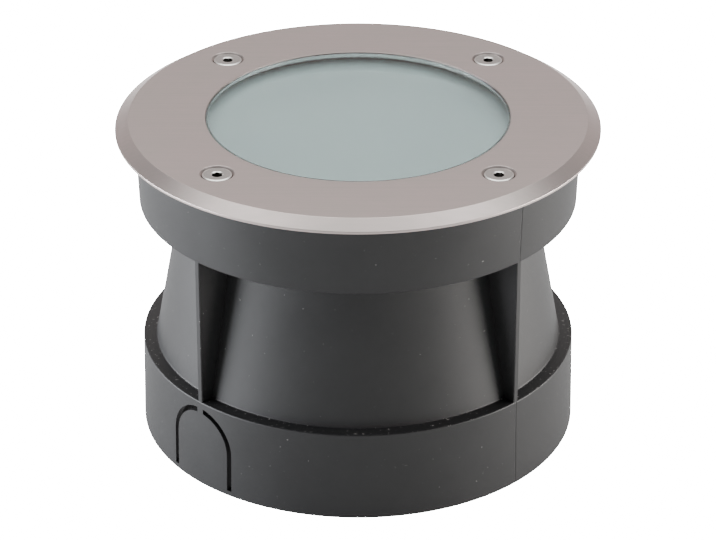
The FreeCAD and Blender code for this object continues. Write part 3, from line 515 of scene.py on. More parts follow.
# ---- Finishes ---------------------------------------------------------------------------------------
@dataclass(frozen=True)
class Finish:
    """An opaque finish: colour that drifts in patches, roughness that varies, grain, marks and dust.

    Attributes:
        name: The material's name.
        colour: The colour of the surface.
        drift: The colour of the patches that break it up.
        roughness: The lowest roughness.
        roughness_spread: What the patches add to it.
        metallic: 1 for bare metal.
        grain: Grains in each metre.
        grain_height: The grain's height in metres.
        patches: Patches in each metre.
        marks: Tool marks in each metre, across X, which take the grain's place; 0 for none.
        marks_height: Their height in metres.
        dust: How much of the surface carries specks, from 0 to 1.
        coat: The weight of a clear skin.
    """

    name: str
    colour: Colour
    drift: Colour
    roughness: float = 0.45
    roughness_spread: float = 0.12
    metallic: float = 0.0
    grain: float = 3500.0
    grain_height: float = 0.00001
    patches: float = 30.0
    marks: float = 0.0
    marks_height: float = 0.0
    dust: float = 0.0
    coat: float = 0.0

    def material(self, effects: SurfaceEffects) -> bpy.types.Material:
        """Builds the material.

        Args:
            effects: The shared node groups.

        Returns:
            The new material.
        """
        material, graph, shader = new_material(self.name)
        grain = effects.grained(graph, self.grain, self.patches)
        patches, height, depth = grain["Patches"], grain["Height"], self.grain_height
        if self.marks > 0:
            inputs = {"Marks per metre": self.marks}
            marks = graph.add("ShaderNodeGroup", inputs, node_tree=effects.marks).outputs
            patches = graph.math("MULTIPLY", graph.math("ADD", patches, marks["Bands"]), 0.5)
            height, depth = marks["Height"], self.marks_height
        share = graph.ramp(patches, DRIFT_SPAN)
        # Painted shade and highlight, where a finish has them, go into the colour here.
        colour = self.shaded(graph, graph.mix(share, (*self.colour, 1.0), (*self.drift, 1.0)))
        if self.dust > 0:
            inputs = {"Bar": DUST.bar - DUST.reach * self.dust}
            dust = graph.add("ShaderNodeGroup", inputs, node_tree=effects.dust).outputs
            colour = graph.mix(dust["Mask"], colour, (*DUST.colour, 1.0))
        spread = graph.math("MULTIPLY", patches, self.roughness_spread)
        graph.feed(shader, {
            "Base Color": colour,
            "Metallic": self.metallic,
            "Coat Weight": self.coat,
            "Roughness": graph.math("ADD", spread, self.roughness),
            "Normal": graph.bump(height, depth),
        })
        return material

    def shaded(self, graph: Graph, colour: Socket) -> Socket:
        """The colour after the finish's painted shade and highlight, which a plain finish doesn't have."""
        return colour


@dataclass(frozen=True)
class PaintedLightSteel(Finish):
    """Steel with painted light by height: painted shade in its sockets and on its flat, and a painted
    highlight on its slopes.

    Attributes:
        levels: Pairs of a height in metres and what is left of the colour there, from the foot upwards:
            painted shade in the socket and on the flat, painted highlight on the slopes.
    """

    # Painted shade in the socket (0.3) and on the flat (0.74), painted highlight on the slopes (1.0).
    levels: tuple[Pair, ...] = ((0.1371, 0.3), (0.1375, 1.0), (0.1378, 1.0), (0.13784, 0.74))

    def shaded(self, graph: Graph, colour: Socket) -> Socket:
        """Paints shade and highlight by height: the painted light runs straight from one level to the next.

        Args:
            graph: The material's graph.
            colour: The colour before.

        Returns:
            The dimmed colour.
        """
        height = graph.axis(graph.place(), "Z")
        light: Value = self.levels[0][1]
        for (low, before), (high, after) in zip(self.levels, self.levels[1:]):
            light = graph.math("ADD", graph.ramp(height, (low, high), (0.0, after - before)), light)
        return graph.dimmed(colour, light)


@dataclass(frozen=True)
class RimPaintedShadeFace(Finish):
    """A frosted face with painted shade towards its rim on one side, where the deep rim over it would shade
    it.

    Attributes:
        shade_span: The distances from the middle, in metres, at which the shade starts and is full.
        shade_turn: The azimuth in degrees of its deepest part.
        shade: What it takes of the light there.
    """

    shade_span: Pair = (0.044, 0.064)
    shade_turn: float = 25.0
    shade: float = 0.34

    def shaded(self, graph: Graph, colour: Socket) -> Socket:
        """Paints shade towards the rim: dims the colour by how far a point lies towards the shaded side.

        Args:
            graph: The material's graph.
            colour: The colour before.

        Returns:
            The dimmed colour.
        """
        turn = math.radians(self.shade_turn)
        way = {0: graph.place(), 1: (math.cos(turn), math.sin(turn), 0.0)}
        toward = graph.add("ShaderNodeVectorMath", way, operation="DOT_PRODUCT").outputs["Value"]
        light = graph.ramp(toward, self.shade_span, (1.0, 1.0 - self.shade), soft=True)
        return graph.dimmed(colour, light)


@dataclass(frozen=True)
class ClearGlass:
    """The body of the glass: polished, with a trace of waviness.

    Attributes:
        name: The material's name.
        colour: The tint that light takes at each face.
        roughness: The lowest roughness of the polish.
        roughness_spread: What its patches add to it.
        index: The index of refraction.
        grain: Waves in each metre.
        grain_height: Their height in metres.
        patches: Patches in each metre.
    """

    name: str = "clear_glass"
    colour: Colour = (0.91, 0.997, 0.997)
    roughness: float = 0.2
    roughness_spread: float = 0.03
    index: float = 1.5
    grain: float = 900.0
    grain_height: float = 0.000001
    patches: float = 20.0

    def material(self, effects: SurfaceEffects) -> bpy.types.Material:
        """Builds the glass, with a very shallow grain as the waviness of its faces.

        Args:
            effects: The shared node groups.

        Returns:
            The new material.
        """
        material, graph, shader = new_material(self.name)
        grain = effects.grained(graph, self.grain, self.patches)
        spread = graph.math("MULTIPLY", grain["Patches"], self.roughness_spread)
        graph.feed(shader, {
            "Base Color": (*self.colour, 1.0),
            "Transmission Weight": 1.0,
            "IOR": self.index,
            "Roughness": graph.math("ADD", spread, self.roughness),
            "Normal": graph.bump(grain["Height"], self.grain_height),
        })
        return material


BLACK_POLYMER = Finish(
    "black_polymer", (0.013, 0.013, 0.0138), (0.019, 0.019, 0.0198), roughness=0.42, roughness_spread=0.14,
    grain=5200.0, grain_height=0.000018, patches=26.0, dust=0.42,
)
BRUSHED_RING = Finish(
    "brushed_ring", (0.615, 0.522, 0.51), (0.53, 0.476, 0.448), roughness=0.3,
    metallic=1.0, patches=34.0, marks=5200.0, marks_height=0.0000025,
)
# The frosting carries painted shade towards its rim, deepest at the azimuth 25 degrees.
FROSTED_FACE = RimPaintedShadeFace(
    "frosted_face", (0.865, 0.985, 0.965), (0.835, 0.95, 0.955), roughness=0.6, roughness_spread=0.1,
    grain=9000.0, grain_height=0.000006, patches=22.0,
)
# The screws' steel: a raised colour for the painted highlight on the slopes, with painted shade on the flat
# and in the socket.
STAINLESS_SCREW = PaintedLightSteel(
    "stainless_screw", (0.80, 0.77, 0.745), (0.66, 0.64, 0.615), roughness=0.24, roughness_spread=0.14,
    metallic=1.0, grain=9000.0, grain_height=0.000002, patches=320.0,
)
GREY_SILICONE = Finish(
    "grey_silicone", (0.052, 0.068, 0.082), (0.07, 0.086, 0.1), roughness=0.5, grain=6000.0,
    grain_height=0.000008,
)
CAST_BODY = Finish(
    "cast_body", (0.50, 0.505, 0.51), (0.42, 0.425, 0.43), roughness=0.42, roughness_spread=0.2,
    metallic=1.0, grain=2600.0, grain_height=0.00003, patches=60.0,
)
ROLLED_PLATE = Finish(
    "rolled_plate", (0.74, 0.745, 0.75), (0.66, 0.665, 0.67), roughness=0.3, roughness_spread=0.15,
    metallic=1.0, marks=3200.0, marks_height=0.000003,
)
BOARD_MASK = Finish(
    "board_mask", (0.80, 0.81, 0.80), (0.76, 0.77, 0.76), roughness=0.28, grain=7000.0,
    grain_height=0.000003, coat=0.3,
)
PHOSPHOR = Finish(
    "phosphor", (0.82, 0.62, 0.10), (0.86, 0.70, 0.16), roughness=0.25, grain=12000.0,
    grain_height=0.000004, patches=600.0, coat=0.6,
)
WHITE_REFLECTOR = Finish(
    "white_reflector", (0.84, 0.84, 0.82), (0.79, 0.79, 0.77), roughness=0.35, grain=4200.0,
    grain_height=0.000004,
)
ZINC_STEEL = Finish(
    "zinc_steel", (0.62, 0.64, 0.66), (0.52, 0.55, 0.58), roughness=0.26, roughness_spread=0.2,
    metallic=1.0, grain=7000.0, grain_height=0.000003, patches=400.0,
)
DRIVER_CASE = Finish(
    "driver_case", (0.78, 0.78, 0.77), (0.73, 0.73, 0.72), roughness=0.4, grain=4500.0,
    grain_height=0.000012,
)
TERMINAL_CASE = Finish(
    "terminal_case", (0.80, 0.78, 0.71), (0.75, 0.73, 0.66), roughness=0.38, grain=5000.0,
    grain_height=0.000006,
)
MAINS_INSULATION = Finish(
    "mains_insulation", (0.04, 0.08, 0.36), (0.05, 0.10, 0.42), roughness=0.35, grain=5000.0,
    grain_height=0.000003, patches=150.0,
)
EARTH_INSULATION = Finish(
    "earth_insulation", (0.10, 0.30, 0.02), (0.55, 0.50, 0.02), roughness=0.35, roughness_spread=0.05,
    grain=5000.0, grain_height=0.000003, patches=120.0,
)
LEAD_INSULATION = Finish(
    "lead_insulation", (0.42, 0.02, 0.015), (0.50, 0.03, 0.02), roughness=0.32, grain=5000.0,
    grain_height=0.000003, patches=150.0,
)
NICKEL_BRASS = Finish(
    "nickel_brass", (0.66, 0.63, 0.57), (0.57, 0.54, 0.48), roughness=0.22, roughness_spread=0.18,
    metallic=1.0, grain=6000.0, grain_height=0.000003, patches=200.0,
)
BLACK_RUBBER = Finish(
    "black_rubber", (0.018, 0.018, 0.018), (0.026, 0.026, 0.026), roughness=0.6, grain=5200.0,
    grain_height=0.00001,
)
CLEAR_GLASS = ClearGlass()


# ---- Cover ------------------------------------------------------------------------------------------
@dataclass(frozen=True)
class TrimRing:
    """The bevelled steel ring with its bore and four countersunk holes. Sizes in millimetres.

    Attributes:
        underside: The height of its underside.
        top: The height of its top.
        bore: The bore's radius.
        edge_break: The chamfer at the bore's upper edge.
        flat: The outer radius of the flat top.
        rim: The outer radius.
        rim_top: The height at which the bevel meets the rim.
        countersink: A countersink's radius at the top.
        hole: A hole's radius at the underside.
        lip: How far outside a countersink's radius the flat ends and its softened edge begins.
        lip_inset: How far inside the countersink's radius that edge ends.
        lip_depth: How deep it ends.
        lip_arc: The radius of its arc.
        cone_arc: The radius of the arc at the cone's foot.
        bore_arcs: The radii of the bore's arcs, from the underside up.
        rim_arcs: The radii of the rim's arcs, from the top down.
        margin: The width of the strips beside the bore and the rim, up to which the flats reach.
        window: Half the angle, in degrees, of the patch round each hole.
        patch_cells: The cells on each side of a patch.
        patch_rows: The rows of points from a hole to its patch's border.
        crowding: The power that draws those rows towards the hole.
        sector_cells: The cells between two patches.
    """

    underside: float = 133.7
    top: float = 138.1
    bore: float = 62.8
    edge_break: float = 0.25
    flat: float = 94.5
    rim: float = 100.0
    rim_top: float = 134.7
    countersink: float = 7.0
    hole: float = 3.3
    lip: float = 0.12
    lip_inset: float = 0.02
    lip_depth: float = 0.06
    lip_arc: float = 0.05
    cone_arc: float = 0.2
    bore_arcs: tuple[float, float, float] = (0.15, 0.12, 0.12)
    rim_arcs: tuple[float, float, float] = (0.35, 0.22, 0.18)
    margin: float = 2.0
    window: float = 8.0
    patch_cells: int = 16
    patch_rows: int = 8
    crowding: float = 2.0
    sector_cells: int = 74

    def window_turns(self, quarter: int) -> np.ndarray:
        """Azimuths in radians across the patch of one hole."""
        middle = quarter_azimuth(quarter)
        return np.radians(np.linspace(middle - self.window, middle + self.window, self.patch_cells + 1))

    def sector_turns(self, quarter: int) -> np.ndarray:
        """Azimuths in radians from the patch of one hole to the next."""
        start = quarter_azimuth(quarter) + self.window
        return np.radians(np.linspace(start, start + QUARTER_TURN - 2 * self.window, self.sector_cells + 1))

    def all_turns(self) -> np.ndarray:
        """Joins the azimuths of every patch and sector.

        Returns:
            Azimuths in radians once round.
        """
        parts = []
        for quarter in range(QUARTERS):
            parts += [self.window_turns(quarter)[:-1], self.sector_turns(quarter)[:-1]]
        return np.concatenate(parts)

    def flat_radii(self, inner: float, outer: float) -> np.ndarray:
        """Radii in metres across a flat, as many as a patch has cells on its side."""
        return np.linspace(inner, outer, self.patch_cells + 1)

    def border(self, quarter: int, inner: float, outer: float) -> np.ndarray:
        """Follows a patch's outline: along the inner arc, out, back along the outer arc and in.

        Args:
            quarter: Which hole.
            inner: The flat's inner radius in metres.
            outer: The flat's outer radius in metres.

        Returns:
            Rows of x and y in metres.
        """
        turns, radii = self.window_turns(quarter), self.flat_radii(inner, outer)
        ends = np.full(self.patch_cells, 1.0)
        radius = np.concatenate([ends * inner, radii[:-1], ends * outer, radii[:0:-1]])
        turn = np.concatenate([turns[:-1], ends * turns[-1], turns[:0:-1], ends * turns[0]])
        return np.stack([radius * np.cos(turn), radius * np.sin(turn)], axis=-1)

    def patch(self, quarter: int, inner: float, outer: float, hole: float, height: float) -> Surface:
        """A flat patch with a round hole: P(t, s) runs straight from the hole's rim to the border.

        Args:
            quarter: Which hole.
            inner: The flat's inner radius in metres.
            outer: The flat's outer radius in metres.
            hole: The hole's radius in metres.
            height: The flat's height in metres.

        Returns:
            The patch, with the border's own points at its edge.
        """
        border = self.border(quarter, inner, outer)
        swing = self.swing(quarter, inner, outer)
        rim = screw_place(quarter) + hole * np.stack([np.cos(swing), np.sin(swing)], axis=-1)
        share = np.linspace(0.0, 1.0, self.patch_rows)[None, :, None] ** self.crowding
        flat = rim[:, None] * (1 - share) + border[:, None] * share
        points = np.concatenate([flat, np.full((*flat.shape[:2], 1), height)], axis=-1)
        return grid(points, wrap_rows=True)

    def swing(self, quarter: int, inner: float, outer: float) -> np.ndarray:
        """The directions in radians from a hole's middle to each point of its patch's border."""
        away = self.border(quarter, inner, outer) - screw_place(quarter)
        return np.arctan2(away[:, 1], away[:, 0])

    def countersunk_wall(self, quarter: int, inner: float, outer: float) -> Surface:
        """Turns the cone and the straight hole under it about the hole's own middle.

        Args:
            quarter: Which hole.
            inner: The flat's inner radius in metres.
            outer: The flat's outer radius in metres.

        Returns:
            The wall, with the same directions as its patch.
        """
        cone_foot = self.top - (self.countersink - self.hole)
        profile = rounded([
            (self.countersink + self.lip, self.top, 0.0),
            (self.countersink - self.lip_inset, self.top - self.lip_depth, self.lip_arc),
            (self.hole, cone_foot, self.cone_arc),
            (self.hole, self.underside, 0.0),
        ], closed=False)
        swing = self.swing(quarter, inner, outer)
        return lathe(profile, swing, closed=False).moved(*screw_place(quarter))

    def surface(self) -> Surface:
        """Joins the whole ring: bore and bevel as lathes, and the flats as sectors and patches.

        Returns:
            The ring, closed.
        """
        from_bore, to_rim = self.bore + self.margin, self.flat - self.margin
        foot_arc, break_arc, lip_arc = self.bore_arcs
        bore_side = rounded([
            (from_bore, self.underside, 0.0),
            (self.bore, self.underside, foot_arc),
            (self.bore, self.top - self.edge_break, break_arc),
            (self.bore + self.edge_break, self.top, lip_arc),
            (from_bore, self.top, 0.0),
        ], closed=False)
        bevel_arc, rim_arc, foot_arc = self.rim_arcs
        rim_side = rounded([
            (to_rim, self.top, 0.0),
            (self.flat, self.top, bevel_arc),
            (self.rim, self.rim_top, rim_arc),
            (self.rim, self.underside, foot_arc),
            (to_rim, self.underside, 0.0),
        ], closed=False)
        inner, outer = from_bore * MM, to_rim * MM
        parts = [lathe(side, self.all_turns(), closed=False) for side in (bore_side, rim_side)]
        levels = ((self.top, self.countersink + self.lip), (self.underside, self.hole))
        for quarter in range(QUARTERS):
            for height, hole in levels:
                parts.append(self.patch(quarter, inner, outer, hole * MM, height * MM))
                radii, turns = np.meshgrid(self.flat_radii(inner, outer), self.sector_turns(quarter))
                parts.append(grid(polar_points(radii, np.full(radii.shape, height * MM), turns)))
            parts.append(self.countersunk_wall(quarter, inner, outer))
        return joined(parts)


@dataclass(frozen=True)
class SteppedGlass:
    """The glass disc that fills the ring's bore on a wider edge below, and its frosted underside.

    Attributes:
        foot: The height of its underside in millimetres.
        shoulder: The height of the step.
        top: The height of its top.
        edge: The radius of the wide edge.
        face: The radius of the face that fills the bore.
        bevel: The bevel round the face.
        frost: The radius of the frosted underside that the gasket leaves bare.
        frost_gap: The gap that keeps the frosting's own mesh off the glass.
        frost_depth: The depth of the frosting's mesh.
        edge_arc: The radius of the arcs on the wide edge.
        step_arc: The radius of the arc in the step.
        face_arc: The radius of the arcs on the bevel.
        facets: The facets once round.
    """

    foot: float = 125.7
    shoulder: float = 132.2
    top: float = 137.8
    edge: float = 70.0
    face: float = 62.65
    bevel: float = 0.7
    frost: float = 65.4
    frost_gap: float = 0.03
    frost_depth: float = 0.05
    edge_arc: float = 0.3
    step_arc: float = 0.2
    face_arc: float = 0.12
    facets: int = 256

    def body(self) -> Surface:
        """Turns the disc's profile, from the middle of the underside round to the middle of the top.

        Returns:
            The disc.
        """
        profile = rounded([
            (0.0, self.foot, 0.0),
            (self.edge, self.foot, self.edge_arc),
            (self.edge, self.shoulder, self.edge_arc),
            (self.face, self.shoulder, self.step_arc),
            (self.face, self.top - self.bevel, self.face_arc),
            (self.face - self.bevel, self.top, self.face_arc),
            (0.0, self.top, 0.0),
        ], closed=False)
        return lathe(profile, even_turns(self.facets), closed=False)

    def frosting(self) -> Surface:
        """Turns the frosted underside: a very thin disc just under the glass.

        Returns:
            The frosting.
        """
        high = self.foot - self.frost_gap
        low = high - self.frost_depth
        profile = np.array([
            (0.0, low), (self.frost / 2, low), (self.frost, low),
            (self.frost, high), (self.frost / 2, high), (0.0, high),
        ]) * MM
        return lathe(profile, even_turns(self.facets), closed=False)


@dataclass(frozen=True)
class CoverScrew:
    """One countersunk socket screw, worked out about its own axis. Sizes in millimetres.

    Attributes:
        top: The height of the head's top.
        head: The head's radius.
        land: The depth of the slope round the head's top.
        slope: That slope's width.
        shank: The thread's outer radius.
        root: The thread's inner radius.
        pitch: The thread's pitch.
        plain: The plain length between the head's cone and the thread.
        tip: The height of the screw's tip.
        tip_length: The length of the tip's chamfer.
        tip_inset: How far the tip's face lies inside the thread's inner radius.
        thread_rows: The rows of points in each pitch.
        flank: How steep the flattened wave of the thread is.
        crest: How much of the wave is cut off at the crest.
        socket: The socket's width across its flats.
        socket_depth: The socket's depth.
        socket_mouth: The radius of the round chamfer at the socket's mouth.
        mouth_fall: How much that chamfer falls over its width.
        mouth_edge: The depth of the small edge between the chamfer and the flat.
        mouth_reach: That edge's width.
        wall_top: The depth of a row of points on the hexagon's walls, under the chamfer.
        drill_share: The drilled floor's radius as a share of the hexagon's.
        drill_point: The depth of the drill's point.
        floor_fall: How far the drilled floor lies under the walls' foot.
        head_arcs: The radii of the arcs on the slope, on the head's edge and under the cone.
        facets: The facets once round.
    """

    top: float = 137.85
    head: float = 6.1
    land: float = 0.3
    slope: float = 0.85
    shank: float = 2.98
    root: float = 2.45
    pitch: float = 1.0
    plain: float = 1.2
    tip: float = 118.85
    tip_length: float = 0.45
    tip_inset: float = 0.1
    thread_rows: int = 8
    flank: float = 2.6
    crest: float = 0.15
    socket: float = 4.0
    socket_depth: float = 2.6
    socket_mouth: float = 2.7
    mouth_fall: float = 0.45
    mouth_edge: float = 0.04
    mouth_reach: float = 0.05
    wall_top: float = 0.62
    drill_share: float = 0.96
    drill_point: float = 0.9
    floor_fall: float = 0.02
    head_arcs: tuple[float, float, float] = (0.3, 0.12, 0.25)
    facets: int = 72

    @property
    def cone_foot(self) -> float:
        """The height at which the head's cone meets the shank."""
        return self.top - self.land - (self.head - self.shank)

    def socket_radius(self, turns: np.ndarray) -> np.ndarray:
        """The hexagon's radius at an azimuth: half the width over the cosine of the angle to its flat."""
        sixth = math.pi / 3
        return self.socket / 2 / np.cos((turns + sixth / 2) % sixth - sixth / 2)

    def head_surface(self, turns: np.ndarray) -> np.ndarray:
        """Rows from the socket's drilled floor up its six walls, over the flat and down the cone.

        Args:
            turns: The azimuths in radians.

        Returns:
            Points by azimuth and row, in millimetres about the screw's axis.
        """
        hexagon = self.socket_radius(turns)[:, None]
        ones = np.ones((len(turns), 1))
        floor = self.top - self.socket_depth
        drill = self.socket / 2 * self.drill_share
        mouth_depth = (self.socket_mouth - hexagon) * self.mouth_fall + self.mouth_edge
        inside = [
            (0.0 * ones, floor - self.drill_point),
            (drill * ones, floor),
            (hexagon, floor + self.floor_fall),
            (hexagon, self.top - self.wall_top),
            (hexagon, self.top - mouth_depth),
            (self.socket_mouth * ones, self.top - self.mouth_edge),
        ]
        slope_arc, edge_arc, cone_arc = self.head_arcs
        outline = rounded([
            (self.socket_mouth + self.mouth_reach, self.top, 0.0),
            (self.head - self.slope, self.top, slope_arc),
            (self.head, self.top - self.land, edge_arc),
            (self.shank, self.cone_foot, cone_arc),
            (self.shank, self.cone_foot - self.plain, 0.0),
        ], closed=False) / MM
        radii, heights = (
            np.hstack([*(np.broadcast_to(row[axis], ones.shape) for row in inside), ones * outline[:, axis]])
            for axis in (0, 1)
        )
        return polar_points(radii, heights, turns[:, None] * np.ones(radii.shape))

    def thread_surface(self, turns: np.ndarray) -> np.ndarray:
        """The thread: the radius falls from crest to root with the distance from the helix.

        The helix climbs one pitch a turn, so at azimuth a and height z the phase is z / pitch - a / 2 pi,
        and the radius is the root plus the depth times a flattened triangle wave of the phase.

        Args:
            turns: The azimuths in radians.

        Returns:
            Points by azimuth and row, in millimetres about the screw's axis, down to the tip's middle.
        """
        start = self.cone_foot - self.plain
        rows = int((start - self.tip) / self.pitch * self.thread_rows) + 1
        heights = np.linspace(start, self.tip + self.tip_length, rows)
        up, turn = np.meshgrid(heights, turns)
        phase = (up / self.pitch - turn / (2 * math.pi)) % 1.0
        wave = np.clip(np.abs(phase - 0.5) * self.flank - self.crest, 0.0, 1.0)
        run_out = np.clip((start - up) / self.pitch, 0.0, 1.0)
        radii = self.shank - (self.shank - self.root) * wave * run_out
        ones = np.ones((len(turns), 1))
        radii = np.hstack([radii, ones * (self.root - self.tip_inset), ones * 0.0])
        up = np.hstack([up, ones * self.tip, ones * self.tip])
        return polar_points(radii, up, turns[:, None] * np.ones(radii.shape))

    def surface(self, quarter: int, socket_turn: float) -> Surface:
        """One whole screw in its place.

        Args:
            quarter: Which of the four.
            socket_turn: The angle in degrees at which its socket came to rest.

        Returns:
            The screw, closed from the socket's floor to the tip.
        """
        turns = even_turns(self.facets)
        points = np.concatenate([self.head_surface(turns), self.thread_surface(turns)], axis=1) * MM
        return grid(points, wrap_rows=True).turned(socket_turn).moved(*screw_place(quarter))


@dataclass(frozen=True)
class Cover:
    """The part that lifts off: ring, glass, gasket and the four screws that stay in the ring.

    Attributes:
        ring: The steel ring.
        glass: The glass.
        screw: One screw.
        socket_turns: The angles in degrees at which the screws' sockets came to rest.
    """

    ring: TrimRing = TrimRing()
    glass: SteppedGlass = SteppedGlass()
    screw: CoverScrew = CoverScrew()
    socket_turns: tuple[float, ...] = (12.0, 33.0, 4.0, 21.0)

    def dress(self, effects: SurfaceEffects) -> None:
        """Builds and places every piece of the cover that is made anew.

        Args:
            effects: The shared node groups.
        """
        screws = joined([self.screw.surface(quarter, turn) for quarter, turn in enumerate(self.socket_turns)])
        pieces = (
            ("steel_ring", self.ring.surface(), BRUSHED_RING, "trim_ring", "brushed_ring"),
            ("glass_disc", self.glass.body(), CLEAR_GLASS, "glass_lens", "frosted_glass"),
            ("glass_frosting", self.glass.frosting(), FROSTED_FACE, "glass_lens", "frosted_glass"),
            ("socket_screws", screws, STAINLESS_SCREW, "cover_screws", "stainless_screw"),
        )
        for name, surface, finish, stands_for, slot in pieces:
            settle(build(name, surface, finish.material(effects)), Body.COVER, stands_for)


# ---- Mounting sleeve --------------------------------------------------------------------------------
@dataclass(frozen=True)
class KnockOut:
    """The arched slot in the skirt, in two halves that the bridge holds apart. Sizes in millimetres.

    Attributes:
        outer: The slot's outer radius.
        inner: The slot's inner radius.
        spring: The height at which the legs become the arch.
        foot: The height of the legs' ends.
        bridge: The width of the bridge at the crown.
        near: Where the cutter starts, measured from the sleeve's axis.
        far: Where the cutter ends.
        leg_cells: The cells up each leg.
        arch_cells: The cells round each half of the arch.
    """

    outer: float = 16.9
    inner: float = 14.7
    spring: float = 18.9
    foot: float = 2.5
    bridge: float = 3.3
    near: float = 84.0
    far: float = 97.0
    leg_cells: int = 6
    arch_cells: int = 36

    def edge(self, radius: float) -> np.ndarray:
        """One edge of the left half: up the leg, then round at the radius to the bridge.

        Args:
            radius: The edge's radius in millimetres.

        Returns:
            Rows of across and up.
        """
        heights = np.linspace(self.foot, self.spring, self.leg_cells + 1)[:-1]
        leg = np.stack([np.full(self.leg_cells, -radius), heights], axis=-1)
        swing = np.linspace(math.pi, math.acos(-self.bridge / 2 / radius), self.arch_cells + 1)
        arch = np.stack([radius * np.cos(swing), self.spring + radius * np.sin(swing)], axis=-1)
        return np.concatenate([leg, arch])

    def half(self, side: float) -> Surface:
        """A solid cutter for one half: each cell joins the two edges, and runs straight outwards.

        Args:
            side: 1 for the left half, and -1 for its mirror image.

        Returns:
            The cutter about the azimuth 0, in metres.
        """
        edges = np.stack([self.edge(self.outer), self.edge(self.inner)], axis=1)
        rim = np.stack([edges[:, 0], edges[:, 1], edges[:, 1], edges[:, 0]], axis=1)
        depth = np.broadcast_to(np.array((self.near, self.near, self.far, self.far)), rim.shape[:2])
        tube = grid(np.stack([depth, side * rim[..., 0], rim[..., 1]], axis=-1) * MM, wrap_columns=True)
        last = len(tube.points) - 4
        ends = np.array([[0, 1, 2, 3], [last, last + 1, last + 2, last + 3]])
        return Surface(tube.points, np.concatenate([tube.faces, ends]))


